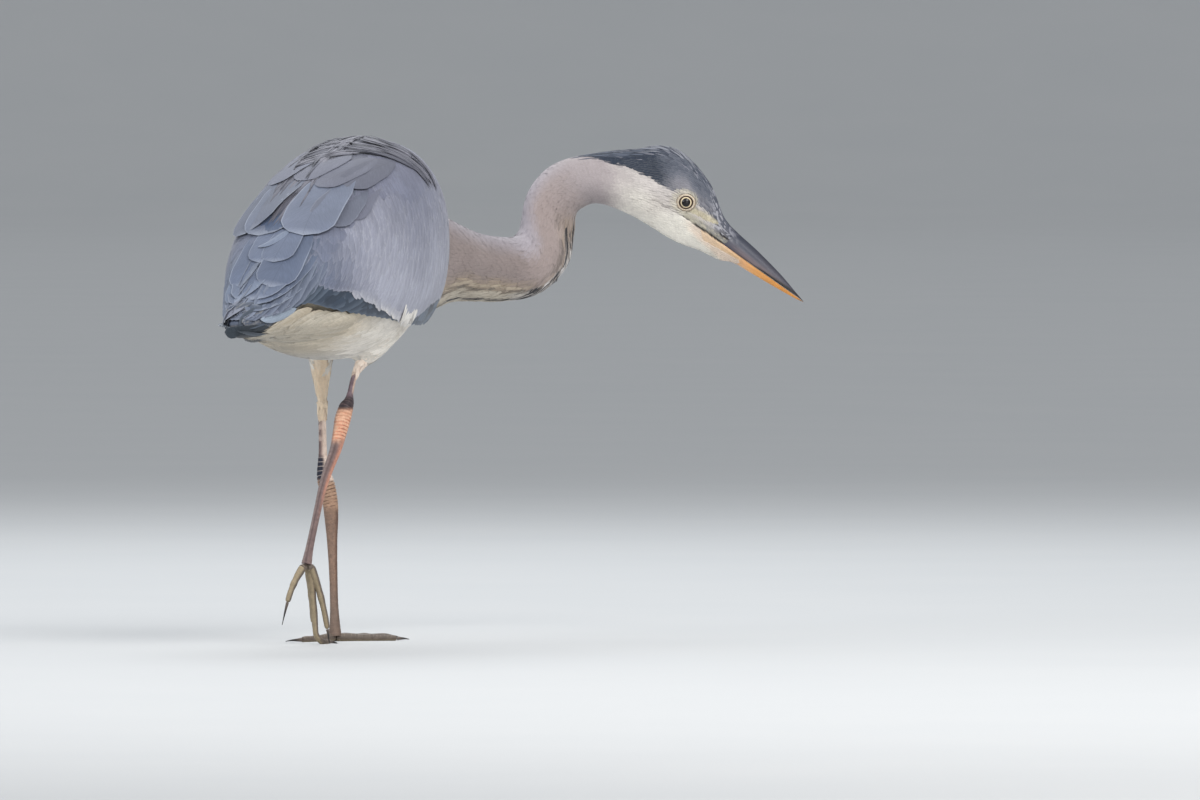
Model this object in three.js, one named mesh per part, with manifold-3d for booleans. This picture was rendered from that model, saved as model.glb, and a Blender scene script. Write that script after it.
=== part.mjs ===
// A life-size grey heron, Ardea cinerea, in its first winter, stalking: trunk pitched up
// towards the shoulders, neck carried forward, swung to the bird's right and kinked up, head
// in profile with the bill pointed down, left foot flat and right foot trailing on a toe tip.
//
// Millimetres. The bird's own frame: s runs forward from the tail tip along the trunk,
// r to the bird's right, z up from the floor. The neck and head also use a frame turned
// SWING degrees from the trunk: u along the way the bill points over the floor, d across it.
// In the model frame forward is -Y and the bird's right is -X.
import * as THREE from "three";
import Module from "manifold-3d";
import { mergeVertices } from "three/addons/utils/BufferGeometryUtils.js";
import { ParametricGeometry } from "three/addons/geometries/ParametricGeometry.js";

// ---- driving dimensions --------------------------------------------------------------
const SHIFT = [120.18, 351.05, 0]; // puts the bottom centre of the whole bird at the origin
const GAP = 0.35; // clearance between neighbouring pieces
const SWING = 68; // angle between the trunk's forward axis and the bill, seen from above
const TRUNK_REAR = 42,
  TRUNK_FRONT = 442;
const WING_TIP = 12,
  WING_WRIST = 386;
const TAIL_LENGTH = 150,
  TAIL_TIP = 4;
const EYE_RADIUS = 8,
  EYE_U = 450.9,
  EYE_Z = 435,
  EYE_OUT = 12.4,
  HEAD_D = 522;
const MIDDLE_TOE = 86,
  INNER_TOE = 63,
  OUTER_TOE = 69,
  HIND_TOE = 45;
const TURNED_IN = 17, // how far the flat left foot turns in, under the weight of the neck
  TURNED_OUT = 20; // and the trailing right foot out
const MIDDLE_CLAW = 14,
  SIDE_CLAW = 12,
  HIND_CLAW = 21;

// ---- small tools ---------------------------------------------------------------------
const DEG = Math.PI / 180;
const clamp = (x, a, b) => Math.min(b, Math.max(a, x));
const step = (a, b, x) => {
  const t = clamp((x - a) / (b - a), 0, 1);
  return t * t * (3 - 2 * t);
};

// A smooth function through the knots [[x, value], ...] that never overshoots them.
function curve(knots) {
  const n = knots.length,
    x = knots.map((k) => k[0]),
    y = knots.map((k) => k[1]);
  const h = [],
    m = [];
  for (let i = 0; i < n - 1; i++) {
    h.push(x[i + 1] - x[i]);
    m.push((y[i + 1] - y[i]) / h[i]);
  }
  const g = y.map((_, i) => {
    if (i === 0) return m[0];
    if (i === n - 1) return m[n - 2];
    if (m[i - 1] * m[i] <= 0) return 0;
    const a = 2 * h[i] + h[i - 1],
      b = h[i] + 2 * h[i - 1];
    return (a + b) / (a / m[i - 1] + b / m[i]);
  });
  return (v) => {
    v = clamp(v, x[0], x[n - 1]);
    let i = 0;
    while (i < n - 2 && v > x[i + 1]) i++;
    const t = (v - x[i]) / h[i],
      q = 1 - t;
    return (
      y[i] * (1 + 2 * t) * q * q +
      g[i] * h[i] * t * q * q +
      y[i + 1] * t * t * (3 - 2 * t) -
      g[i + 1] * h[i] * t * t * q
    );
  };
}

// The rows of a table as one smooth function of the row number.
function rows(table) {
  return (t) => {
    const n = table.length;
    t = clamp(t, 0, n - 1);
    const i = Math.min(Math.floor(t), n - 2),
      f = t - i;
    const at = (k) => table[clamp(k, 0, n - 1)];
    return table[i].map((_, c) => {
      const a = at(i - 1)[c],
        b = at(i)[c],
        e = at(i + 1)[c],
        g = at(i + 2)[c];
      const ma = i === 0 ? e - b : (e - a) / 2,
        mb = i + 2 > n - 1 ? e - b : (g - b) / 2;
      return (
        b * (1 + 2 * f) * (1 - f) ** 2 +
        ma * f * (1 - f) ** 2 +
        e * f * f * (3 - 2 * f) -
        mb * f * f * (1 - f)
      );
    });
  };
}

const bird = (s, r, z) =>
  new THREE.Vector3(SHIFT[0] - r, SHIFT[1] - s, SHIFT[2] + z);
const swung = (u, d, z) => {
  const c = Math.cos(SWING * DEG),
    k = Math.sin(SWING * DEG);
  return bird(u * c + d * k, u * k - d * c, z);
};

const wasm = await Module();
wasm.setup();

// A closed skin over rings of points, as a solid.
function loft(ringAt, rings, around) {
  const ring = [];
  for (let i = 0; i < rings; i++) ring.push(ringAt(i / (rings - 1), around));
  const middle = ring.map((p) =>
    p
      .reduce((a, b) => a.add(b), new THREE.Vector3())
      .multiplyScalar(1 / p.length),
  );
  const skin = new ParametricGeometry(
    (u, v, target) => {
      const i = Math.round(v * (rings + 1)) - 1,
        j = Math.round(u * around) % around;
      if (i < 0) target.copy(middle[0]);
      else if (i >= rings) target.copy(middle[rings - 1]);
      else target.copy(ring[i][j]);
    },
    around,
    rings + 1,
  );
  return solid(skin);
}

function solid(geometry) {
  const bare = new THREE.BufferGeometry().setAttribute(
    "position",
    geometry.getAttribute("position"),
  );
  if (geometry.index) bare.setIndex(geometry.index);
  const one = mergeVertices(bare, 1e-4);
  const keep = [];
  const at = one.index.array;
  for (let i = 0; i < at.length; i += 3)
    if (at[i] !== at[i + 1] && at[i + 1] !== at[i + 2] && at[i] !== at[i + 2])
      keep.push(at[i], at[i + 1], at[i + 2]);
  const make = (tri) =>
    new wasm.Manifold(
      new wasm.Mesh({
        numProp: 3,
        vertProperties: new Float32Array(one.attributes.position.array),
        triVerts: new Uint32Array(tri),
      }),
    );
  const out = make(keep);
  if (out.volume() > 0) return out;
  for (let i = 0; i < keep.length; i += 3)
    [keep[i + 1], keep[i + 2]] = [keep[i + 2], keep[i + 1]];
  return make(keep);
}

// The largest single body of a solid, without the crumbs that a cut leaves.
const main = (s) =>
  s.decompose().sort((a, b) => b.volume() - a.volume())[0];

const power = (x, e) => Math.sign(x) * Math.abs(x) ** e;

// ---- trunk, wings and tail -----------------------------------------------------------
// The closed outline of the body with its folded wings, as functions of s.
const bodyWidth = curve([
  [0, 8], [30, 20.5], [60, 33.5], [100, 50.5], [150, 71], [200, 83.5], [250, 91],
  [300, 93], [340, 90], [370, 77], [400, 52], [425, 30], [445, 10],
]);
const bodyTop = curve([
  [0, 325], [30, 338], [60, 356], [100, 389], [150, 426], [200, 458],
  [250, 483], [300, 499], [335, 504], [370, 493], [400, 469], [425, 440],
  [445, 405],
]);
const bodyBottom = curve([
  [0, 306], [30, 305], [60, 304], [100, 299], [150, 290], [200, 282],
  [235, 278.5], [270, 279], [300, 281], [340, 288], [370, 300], [400, 325],
  [425, 350], [445, 373],
]);
// The breast swings a little towards the neck.
const bodyTurn = curve([[0, 0], [325, 0], [345, 1.5], [370, 5], [400, 12], [425, 20], [445, 27]]);
const SQUARE = 2.35; // fullness of the cross sections, 2 being an ellipse

function section(s, angle, inset, width, top, bottom) {
  const mid = (top(s) + bottom(s)) / 2,
    high = (top(s) - bottom(s)) / 2 - inset,
    wide = width(s) - inset;
  return [
    Math.max(0.2, wide) * power(Math.sin(angle), 2 / SQUARE),
    mid + Math.max(0.2, high) * power(Math.cos(angle), 2 / SQUARE),
  ];
}

// The trunk proper: narrower than the closed wings, and shorter than their tips.
const trunkWidth = curve([
  [TRUNK_REAR, 7], [60, 18], [100, 36], [150, 61], [200, 78], [250, 86],
  [300, 88.5], [340, 85.5], [370, 73], [400, 50], [425, 30],
  [TRUNK_FRONT, 12],
]);
const trunkTop = (s) => bodyTop(s) - 9 * (1 - step(170, 250, s));
const trunkBottom = curve([
  [TRUNK_REAR, 312], [60, 308], [100, 300], [150, 290], [200, 282], [235, 278.5],
  [270, 280.5], [300, 286], [340, 298], [370, 311], [400, 328], [425, 350],
  [TRUNK_FRONT, 372],
]);

function trunkSolid(grow) {
  return loft(
    (t, n) => {
      const f = 0.5 - 0.5 * Math.cos(Math.PI * (0.06 + 0.88 * t));
      const g = (f - 0.0089) / 0.9822;
      const s = TRUNK_REAR - grow + (TRUNK_FRONT - TRUNK_REAR + 2 * grow) * g;
      return [...Array(n).keys()].map((i) => {
        const [r, z] = section(
          clamp(s, TRUNK_REAR, TRUNK_FRONT),
          (i / n) * 2 * Math.PI,
          -grow,
          trunkWidth,
          trunkTop,
          trunkBottom,
        );
        return bird(s, r + bodyTurn(s), z);
      });
    },
    18,
    24,
  );
}

// A folded wing is a shell on the side of the body, from the wrist to the tip of the
// primaries. Its upper edge is given as an angle down from the back's ridge, its lower
// edge as a height.
const wingUpper = curve([
  [0, 3], [140, 3], [200, 9], [250, 17], [300, 27], [340, 42], [365, 62],
  [WING_WRIST, 92],
]);
const wingLower = curve([
  [0, 316], [15, 318], [30, 323], [50, 332], [80, 336], [135, 328], [200, 321],
  [260, 316], [320, 313], [360, 315], [WING_WRIST, 328],
]);
const wingThick = curve([
  [0, 2.6], [40, 4], [100, 7], [170, 11], [260, 15], [330, 17], [370, 12],
  [WING_WRIST, 5],
]);
const EDGE = 0.6; // half the slit between the two wings where they meet over the rump

function wingSolid(side, grow) {
  const half = 8;
  return loft(
    (t) => {
      const s = WING_TIP - grow + (WING_WRIST - WING_TIP + 2 * grow) * t;
      const c = clamp(s, WING_TIP, WING_WRIST),
        w = bodyWidth(c);
      const mid = (bodyTop(c) + bodyBottom(c)) / 2,
        high = (bodyTop(c) - bodyBottom(c)) / 2;
      const spread = grow / Math.max(12, w);
      const a1 =
        Math.max(
          wingUpper(c) * DEG,
          Math.asin((EDGE / w) ** (SQUARE / 2)),
        ) - spread;
      const a2 =
        Math.acos(power(clamp((wingLower(c) - mid) / high, -0.99, 0.99), SQUARE / 2)) +
        spread;
      const put = (f, inset) => {
        const [r, z] = section(c, a1 + (a2 - a1) * f, inset, bodyWidth, bodyTop, bodyBottom);
        return bird(s, side * Math.max(EDGE - grow, r) + bodyTurn(s), z);
      };
      const points = [];
      for (let i = 0; i <= half; i++) points.push(put(i / half, -grow));
      for (let i = half; i >= 0; i--) {
        const f = i / half;
        const belly = Math.sqrt(Math.sin(Math.PI * clamp(f, 0, 1)));
        const thin = 1.8 + (wingThick(c) - 1.8) * belly;
        points.push(put(f, Math.min(thin, 0.42 * w) + grow));
      }
      return points;
    },
    18,
    2 * half + 2,
  );
}

// The tail lies flat under the wing tips, its end square with rounded corners.
const tailMiddle = curve([[0, 316.5], [50, 319], [100, 325], [TAIL_LENGTH, 335]]);
const TAIL_ARCH = 3, // drop of the outer feathers below the middle ones
  TAIL_ROLL = 0.3; // the tail is rolled, its right edge low
const tailThick = curve([[0, 1.6], [20, 2.6], [90, 4.5], [TAIL_LENGTH, 8]]);
const tailHalf = curve([[0, 2.5], [5, 6], [12, 12], [24, 17], [45, 21], [80, 21], [TAIL_LENGTH, 16]]);
function tailSolid(grow) {
  return loft(
    (t, n) => {
      const s =
        TAIL_TIP - grow + (TAIL_LENGTH - TAIL_TIP + 2 * grow) * t * t;
      return [...Array(n).keys()].map((i) => {
        const a = (i / n) * 2 * Math.PI;
        const r = (tailHalf(s) + grow) * power(Math.sin(a), 0.7);
        return bird(
          s,
          r,
          tailMiddle(s) -
            TAIL_ARCH * (r / 18) ** 2 -
            TAIL_ROLL * r +
            (tailThick(s) + grow) * power(Math.cos(a), 0.9),
        );
      });
    },
    8,
    14,
  );
}

// ---- neck, head and bill -------------------------------------------------------------
// Each station gives the upper and the lower edge of the outline (u, z), the place across
// (d), the half width, and how far the section leans back as the neck turns upwards.
const STATIONS = [
  // upper u, z     lower u, z      d    half  lean
  [155.5, 441.0, 161.5, 308.0, 345, 41.0, 0.0], // neck base, inside the breast
  [187.3, 433.0, 187.3, 324.5, 386, 35.5, 0.0],
  [215.2, 417.5, 211.1, 335.0, 414, 32.0, 0.0],
  [240.1, 406.1, 237.1, 335.6, 441, 28.0, 0.0],
  [263.2, 401.7, 263.2, 335.1, 466, 26.0, 0.0],
  [277.2, 401.9, 294.4, 339.8, 485, 25.0, 0.3],
  [283.2, 407.3, 316.5, 353.8, 498, 25.0, 0.35], // the kink
  [284.7, 418.3, 332.7, 374.8, 507, 24.5, 0.28],
  [286.2, 433.4, 337.7, 401.0, 512, 24.0, 0.2],
  [292.2, 449.5, 341.3, 423.2, 516, 24.0, 0.1],
  [306.4, 467.2, 349.8, 430.3, 519, 24.0, 0.0],
  [325.6, 478.3, 360.0, 433.3, 521, 23.5, 0.0],
  [351.9, 484.8, 374.1, 430.2, 522, 22.5, 0.0],
  [380.2, 488.4, 394.3, 421.6, 522, 21.0, 0.0], // nape
  [404.4, 489.4, 412.5, 411.5, 522, 20.5, 0.0],
  [425.7, 492.4, 432.8, 398.9, 522, 20.0, 0.0], // crown
  [445.9, 486.3, 447.9, 391.5, 522, 19.0, 0.0],
  [464.1, 469.7, 462.1, 386.7, 522, 16.5, 0.0], // lores
  [478.3, 448.4, 473.2, 381.7, 522, 13.5, 0.0],
  [489.4, 420.1, 485.3, 376.6, 522, 10.3, 0.0], // forehead meets bill
  [503.5, 404.4, 498.5, 373.8, 522, 8.2, 0.0],
  [523.2, 386.4, 516.4, 363.2, 522, 6.6, 0.0],
  [546.8, 362.3, 542.6, 347.8, 522, 4.2, 0.0],
  [563.8, 342.2, 560.6, 337.8, 522, 1.8, 0.0],
  [570.3, 334.8, 570.0, 333.6, 522, 0.6, 0.0], // bill tip
];
const NAPE = 13,
  BILL = 19,
  TIP = STATIONS.length - 1;
const station = rows(STATIONS);
const plan = curve([[0, 47], [4, 47], [9, 0], [TIP, 0]]); // heading of the neck in (u, d)
const crownTaper = curve([[0, 0.06], [11, 0.06], [15, 0.24], [18, 0.3], [21, 0.5], [TIP, 0.5]]);
const throatTaper = curve([[0, 0.1], [11, 0.12], [15, 0.3], [19, 0.4], [TIP, 0.3]]);

function neckRing(t, n, grow = 0) {
  const [tu, tz, bu, bz, d, half, lean] = station(t);
  const top = new THREE.Vector3(tu, d + lean * (tu - bu) * 0.5, tz),
    low = new THREE.Vector3(bu, d - lean * (tu - bu) * 0.5, bz);
  const mid = top.clone().add(low).multiplyScalar(0.5),
    up = top.clone().sub(low).multiplyScalar(0.5);
  const tall = up.length();
  up.multiplyScalar((tall + grow) / tall);
  const a = plan(t) * DEG;
  const side = new THREE.Vector3(-Math.sin(a), Math.cos(a), 0);
  return [...Array(n).keys()].map((i) => {
    const q = Math.cos((i / n) * 2 * Math.PI),
      p = Math.sin((i / n) * 2 * Math.PI);
    const taper = 1 - (q > 0 ? crownTaper(t) : throatTaper(t)) * q * q;
    const at = mid
      .clone()
      .addScaledVector(up, q)
      .addScaledVector(side, (half * taper + grow) * p);
    return swung(at.x, at.y, at.z);
  });
}
const neckSolid = (from, to, rings, n) =>
  loft((t) => neckRing(from + (to - from) * t, n), rings, n);

// The cutting edges of the bill run straight from under the eye to the tip.
const GAPE = [442.9, 425.2],
  POINT = [570.2, 334.3];

// ---- legs ----------------------------------------------------------------------------
// A limb along a path of [s, r, z, half thickness fore and aft, half thickness across].
function limb(table, rings, n, { flatFloor = false, grow = 0, from = 0, to = table.length - 1 } = {}) {
  const at = rows(table);
  return loft(
    (t) => {
      const k = from + (to - from) * t;
      const [s, r, z, fore, across] = at(k);
      const beyond = t === 0 ? -grow : t === 1 ? grow : 0;
      const a = at(Math.max(0, k - 0.05)),
        b = at(Math.min(table.length - 1, k + 0.05));
      const along = bird(b[0], b[1], b[2])
        .sub(bird(a[0], a[1], a[2]))
        .normalize();
      const flat = Math.abs(along.z) < 0.6;
      const guide = flat ? new THREE.Vector3(0, 0, 1) : new THREE.Vector3(0, -1, 0);
      const one = guide.clone().addScaledVector(along, -guide.dot(along)).normalize();
      const two = new THREE.Vector3().crossVectors(along, one).normalize();
      return [...Array(n).keys()].map((i) => {
        const w = ((i + 0.5) / n) * 2 * Math.PI;
        const p = bird(s, r, z)
          .addScaledVector(along, beyond)
          .addScaledVector(one, (fore + grow) * Math.cos(w))
          .addScaledVector(two, (across + grow) * Math.sin(w));
        if (flatFloor) p.z = Math.max(0, p.z);
        return p;
      });
    },
    rings,
    n,
  );
}

const LEFT = [
  [304, -34, 325, 34, 24], [302, -31, 300, 26, 18], [300.7, -29.9, 280, 18.5, 12.6],
  [299.5, -28.8, 262, 14, 10.4], [298.7, -28, 250, 10, 7.6], [298.2, -27.5, 240, 6.4, 5],
  [297.9, -27.2, 232.8, 4.8, 3.8], // end of the feathers
  [297, -26.5, 215, 4.5, 3.9], [295, -25.2, 190, 4.6, 4.1], [294.2, -24.8, 176, 5.6, 5.4],
  [294, -23.8, 167, 7.6, 6.8],
  [294, -21.4, 158, 8.8, 8.2], // ankle
  [294.4, -19, 148, 8.9, 8.2], [294.8, -17, 136, 8.2, 7.7], [294.4, -15.8, 122, 7.2, 7],
  [292.5, -14.2, 100, 5.6, 5.4], [289.5, -11.8, 70, 4.8, 4.3], [287, -9.8, 38, 4.8, 4.2],
  [285.9, -8.6, 18, 6.2, 5.2], [285.7, -8.3, 5.2, 7.4, 6.6],
];
const RIGHT = [
  [297, 56, 340, 32, 24], [284, 49, 318, 26, 20], [275, 41, 301, 20, 16.5],
  [270, 36, 290, 15, 12.5], [265.4, 29.6, 280, 8.5, 6.6],
  [262.2, 26.6, 272.8, 4.9, 3], // end of the feathers
  [257.5, 25.4, 266, 4.2, 2.4], [252.8, 25.1, 260.5, 4.2, 2.4], [244, 26, 248.5, 4.4, 2.7],
  [238.5, 26.6, 240, 6.2, 5],
  [233, 25.4, 233, 8.4, 7.2], // ankle
  [229, 23.8, 223, 8.9, 8], [225, 22.9, 212, 8.3, 7.2], [218.6, 20.4, 192.7, 6.9, 5.8],
  [211, 15.6, 173, 5.8, 5], [202.7, 12.6, 153.2, 5, 4.1], [193.1, 10.2, 126.6, 4.7, 3.6],
  [184.5, 7, 97, 5, 3.9], [180, 5.4, 80, 6.4, 5.2],
];

// A toe lies on the floor or hangs to it: knuckled, thinner to its end.
function toePath(root, heading, length, hang, lands) {
  const out = [];
  const c = Math.cos(heading * DEG),
    k = Math.sin(heading * DEG);
  const steps = 8;
  let along = 0,
    z = root[2];
  const first = 5.5;
  let prev = 0;
  for (let i = 0; i <= steps; i++) {
    const f = i / steps;
    const tilt = hang ? hang(f) : 0;
    if (i > 0) {
      const l = (f - prev) * (length - first);
      along += l * Math.cos(tilt);
      z -= l * Math.sin(tilt);
      prev = f;
    }
    const thick = 4.1 - 1.5 * f + 0.45 * Math.sin(f * 3 * Math.PI) ** 2;
    if (!hang) z = thick * 0.86;
    out.push([root[0] + c * (first + along), root[1] + k * (first + along), z, thick, thick * 0.92]);
  }
  if (hang && lands) {
    const end = out[steps],
      drop = (root[2] - 0.86 * end[3]) / (root[2] - end[2]);
    for (const p of out) p[2] = root[2] - (root[2] - p[2]) * drop;
  }
  return out;
}
// A claw grows out of its toe's end, bends down and ends in a point.
function clawPath(toe, length, rest) {
  const a = toe[toe.length - 2],
    b = toe[toe.length - 1];
  const dir = new THREE.Vector3(b[0] - a[0], b[1] - a[1], rest ? 0 : b[2] - a[2]).normalize();
  const out = [];
  for (let i = 0; i <= 4; i++) {
    const f = i / 4,
      l = GAP + length * f;
    const size = Math.max(0.45, b[3] * (0.8 - 0.66 * f));
    const z = rest
      ? Math.max(size + 0.4, b[2] + 0.6 * Math.sin(f * 2.6) - 1.2 * f)
      : b[2] + dir.z * l - 2.2 * f * f;
    out.push([b[0] + dir.x * l, b[1] + dir.y * l, z, size, size * 0.72]);
  }
  return out;
}

// ---- materials -----------------------------------------------------------------------
const paint = (color, roughness) =>
  new THREE.MeshStandardMaterial({ color, roughness, metalness: 0 });
const GREY_BACK = paint("#8f93a3", 0.9),
  GREY_WING = paint("#8b90a4", 0.9),
  CREAM = paint("#d8cfbf", 0.95),
  MAUVE = paint("#b1a8a6", 0.95),
  HEAD_WHITE = paint("#cfcac6", 0.95),
  SLATE = paint("#4d5263", 0.9),
  LEG = paint("#a98872", 0.6),
  BILL_DARK = paint("#585c6b", 0.4),
  BILL_YELLOW = paint("#d9a45c", 0.4),
  CLAW = paint("#3d3733", 0.45),
  IRIS = paint("#e6d5a0", 0.1);

// ---- assembly ------------------------------------------------------------------------
const heron = new THREE.Group();
function add(name, body, material) {
  const m = body.getMesh(),
    n = m.numProp,
    v = new Float32Array(m.numVert * 3);
  for (let i = 0; i < m.numVert; i++)
    v.set(m.vertProperties.subarray(i * n, i * n + 3), i * 3);
  const g = new THREE.BufferGeometry()
    .setAttribute("position", new THREE.BufferAttribute(v, 3))
    .setIndex(new THREE.BufferAttribute(m.triVerts, 1));
  g.computeVertexNormals();
  const mesh = new THREE.Mesh(g, material);
  mesh.name = name;
  heron.add(mesh);
}

// Trunk, tail and wings: the tail's root is sunk in the rump and the wings close over both.
const tailWide = tailSolid(2 * GAP);
const wingOf = (side, grow) => main(wingSolid(side, grow).subtract(tailWide));
add("wing_left", wingOf(-1, 0), GREY_WING);
add("wing_right", wingOf(1, 0), GREY_WING);
const wider = wingSolid(-1, 2 * GAP).add(wingSolid(1, 2 * GAP));
add("trunk", main(trunkSolid(0).subtract(wider).subtract(tailWide)), GREY_BACK);
add("tail", tailSolid(0), SLATE);
const trunkWide = trunkSolid(GAP);

// Neck and head, one form parted by thin cuts.
const part = 0.012;
add("neck_lower", main(neckSolid(0, 4.5 - part, 8, 18).subtract(trunkWide)), MAUVE);
add("neck_middle", neckSolid(4.5, 9 - part, 9, 18), MAUVE);
add("neck_upper", neckSolid(9, NAPE - part, 8, 18), MAUVE);
const eyes = [
  ["eye_right", -1],
  ["eye_left", 1],
].map(([name, side]) => {
  const ball = (radius) => {
    const g = new THREE.SphereGeometry(radius, 14, 8);
    const c = swung(EYE_U, HEAD_D + side * EYE_OUT, EYE_Z);
    g.translate(c.x, c.y, c.z);
    return solid(g);
  };
  return [name, ball(EYE_RADIUS), ball(EYE_RADIUS + GAP)];
});
let head = neckSolid(NAPE, BILL - part, 12, 20);
for (const [name, ball, socket] of eyes) {
  add(name, ball, IRIS);
  head = head.subtract(socket);
}
add("head", main(head), HEAD_WHITE);

const bill = neckSolid(BILL, TIP, 10, 14);
const length = Math.hypot(POINT[0] - GAPE[0], POINT[1] - GAPE[1]) + 60;
const blade = new THREE.BoxGeometry(length, 60, GAP);
blade.rotateY(Math.atan2(GAPE[1] - POINT[1], POINT[0] - GAPE[0]));
blade.translate((GAPE[0] + POINT[0]) / 2 + 6, HEAD_D, (GAPE[1] + POINT[1]) / 2 - 4.28);
const cut = blade.getAttribute("position");
for (let i = 0; i < cut.count; i++) {
  const p = swung(cut.getX(i), cut.getY(i), cut.getZ(i));
  cut.setXYZ(i, p.x, p.y, p.z);
}
const halves = bill
  .subtract(solid(blade))
  .decompose()
  .sort((a, b) => b.volume() - a.volume());
const height = (s) => {
  const b = s.boundingBox();
  return b.max[2];
};
halves.splice(2);
halves.sort((a, b) => height(b) - height(a));
add("bill_upper", halves[0], BILL_DARK);
add("bill_lower", halves[1], BILL_YELLOW);

// Legs and feet.
const keepOut = trunkWide.add(wider);
const TOES = [
  ["middle", 0, MIDDLE_TOE, MIDDLE_CLAW],
  ["inner", 40, INNER_TOE, SIDE_CLAW],
  ["outer", -34, OUTER_TOE, SIDE_CLAW],
  ["hind", 172, HIND_TOE, HIND_CLAW],
];
const legs = {
  left: [LEFT, 6, 11, [285.7, -8.3, 4]],
  right: [RIGHT, 5, 10, [180, 5.4, 76]],
};
const slit = 0.045; // of a row: about half a millimetre
// The lifted foot's toes hang from the raised joint; the middle one bends flat at its end.
const hangs = {
  middle: (f) => (82 - 80 * step(0.72, 1.0, f)) * DEG,
  inner: (f) => (66 + 14 * f) * DEG,
  outer: (f) => (66 + 14 * f) * DEG,
  hind: (f) => (44 + 26 * f) * DEG,
};
for (const [side, [leg, feathered, ankle, root]] of Object.entries(legs)) {
  const lifted = side === "right";
  const thigh = limb(leg, 10, 10, { to: feathered });
  add("thigh_" + side, main(thigh.subtract(keepOut)), CREAM);
  add("shank_" + side, limb(leg, 9, 8, { from: feathered + slit, to: ankle }), LEG);
  const tarsus = { from: ankle + slit };
  add("tarsus_" + side, limb(leg, 13, 10, { ...tarsus, flatFloor: true }), LEG);
  let taken = limb(leg, 13, 10, { ...tarsus, grow: GAP });
  for (const [name, turn, size, claw] of TOES) {
    const hind = name === "hind";
    const heading = lifted
      ? TURNED_OUT + (hind ? 184 : -0.62 * turn)
      : TURNED_IN + (hind ? -172 : turn);
    const path = toePath(root, heading, size, lifted ? hangs[name] : null, name === "middle");
    add("toe_" + side + "_" + name, main(limb(path, 10, 8, { flatFloor: true }).subtract(taken)), LEG);
    taken = taken.add(limb(path, 10, 8, { grow: GAP }));
    add(
      "claw_" + side + "_" + name,
      limb(clawPath(path, claw, !lifted || name === "middle"), 5, 6),
      CLAW,
    );
  }
}

export default heron;
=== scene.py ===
import bpy
import math
import numpy as np
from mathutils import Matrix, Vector
from mathutils.bvhtree import BVHTree
from mathutils.kdtree import KDTree


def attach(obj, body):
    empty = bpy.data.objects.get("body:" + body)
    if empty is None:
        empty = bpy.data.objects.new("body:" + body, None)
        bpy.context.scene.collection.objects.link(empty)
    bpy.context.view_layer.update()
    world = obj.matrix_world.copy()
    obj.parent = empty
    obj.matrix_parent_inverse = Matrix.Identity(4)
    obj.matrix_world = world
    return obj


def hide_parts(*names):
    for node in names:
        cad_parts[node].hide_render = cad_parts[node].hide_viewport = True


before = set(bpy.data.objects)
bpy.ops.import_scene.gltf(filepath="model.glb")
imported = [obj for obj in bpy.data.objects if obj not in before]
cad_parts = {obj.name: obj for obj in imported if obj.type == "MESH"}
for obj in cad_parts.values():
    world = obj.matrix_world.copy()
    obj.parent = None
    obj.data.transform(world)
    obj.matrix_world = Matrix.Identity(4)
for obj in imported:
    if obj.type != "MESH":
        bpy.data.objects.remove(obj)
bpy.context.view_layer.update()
rng = np.random.default_rng(20)
TAU = 2 * math.pi
DEG = math.pi / 180


# ---- curves and frames, the same functions the solids are made with -------------------
def curve(knots):
    k = np.array(knots, float)
    x, y = k[:, 0], k[:, 1]
    h = np.diff(x)
    m = np.diff(y) / h
    n = len(x)
    g = np.zeros(n)
    g[0], g[-1] = m[0], m[-1]
    for i in range(1, n - 1):
        if m[i - 1] * m[i] > 0:
            a, b = 2 * h[i] + h[i - 1], h[i] + 2 * h[i - 1]
            g[i] = (a + b) / (a / m[i - 1] + b / m[i])

    def f(v):
        v = np.clip(np.asarray(v, float), x[0], x[-1])
        i = np.clip(np.searchsorted(x, v, side="left") - 1, 0, n - 2)
        t = (v - x[i]) / h[i]
        q = 1 - t
        return (
            y[i] * (1 + 2 * t) * q * q
            + g[i] * h[i] * t * q * q
            + y[i + 1] * t * t * (3 - 2 * t)
            - g[i + 1] * h[i] * t * t * q
        )

    return f


def rows(table):
    T = np.array(table, float)
    n = len(T)

    def at(t):
        t = np.clip(np.asarray(t, float), 0, n - 1)
        i = np.minimum(np.floor(t).astype(int), n - 2)
        f = (t - i)[..., None]
        a, b = T[np.maximum(i - 1, 0)], T[i]
        e, g = T[i + 1], T[np.minimum(i + 2, n - 1)]
        ma = np.where((i == 0)[..., None], e - b, (e - a) / 2)
        mb = np.where((i + 2 > n - 1)[..., None], e - b, (g - b) / 2)
        return (
            b * (1 + 2 * f) * (1 - f) ** 2
            + ma * f * (1 - f) ** 2
            + e * f * f * (3 - 2 * f)
            - mb * f * f * (1 - f)
        )

    return at


def smooth(a, b, x):
    t = np.clip((np.asarray(x, float) - a) / (b - a), 0, 1)
    return t * t * (3 - 2 * t)


def power(x, e):
    return np.sign(x) * np.abs(x) ** e


SHIFT = (120.18, 351.05)
SWING = 68 * DEG
CS, SN = math.cos(SWING), math.sin(SWING)


def bird(s, r, z):
    s, r, z = np.broadcast_arrays(s, r, z)
    return np.stack([SHIFT[0] - r, SHIFT[1] - s, z], -1) * 0.001


def swung(u, d, z):
    return bird(np.asarray(u) * CS + np.asarray(d) * SN, np.asarray(u) * SN - np.asarray(d) * CS, z)


def unbird(p):
    """Model metres back to the bird's own s, r, z in millimetres."""
    p = np.asarray(p) * 1000
    return SHIFT[1] - p[..., 1], SHIFT[0] - p[..., 0], p[..., 2]


def unswung(p):
    s, r, z = unbird(p)
    return s * CS + r * SN, s * SN - r * CS, z


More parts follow.
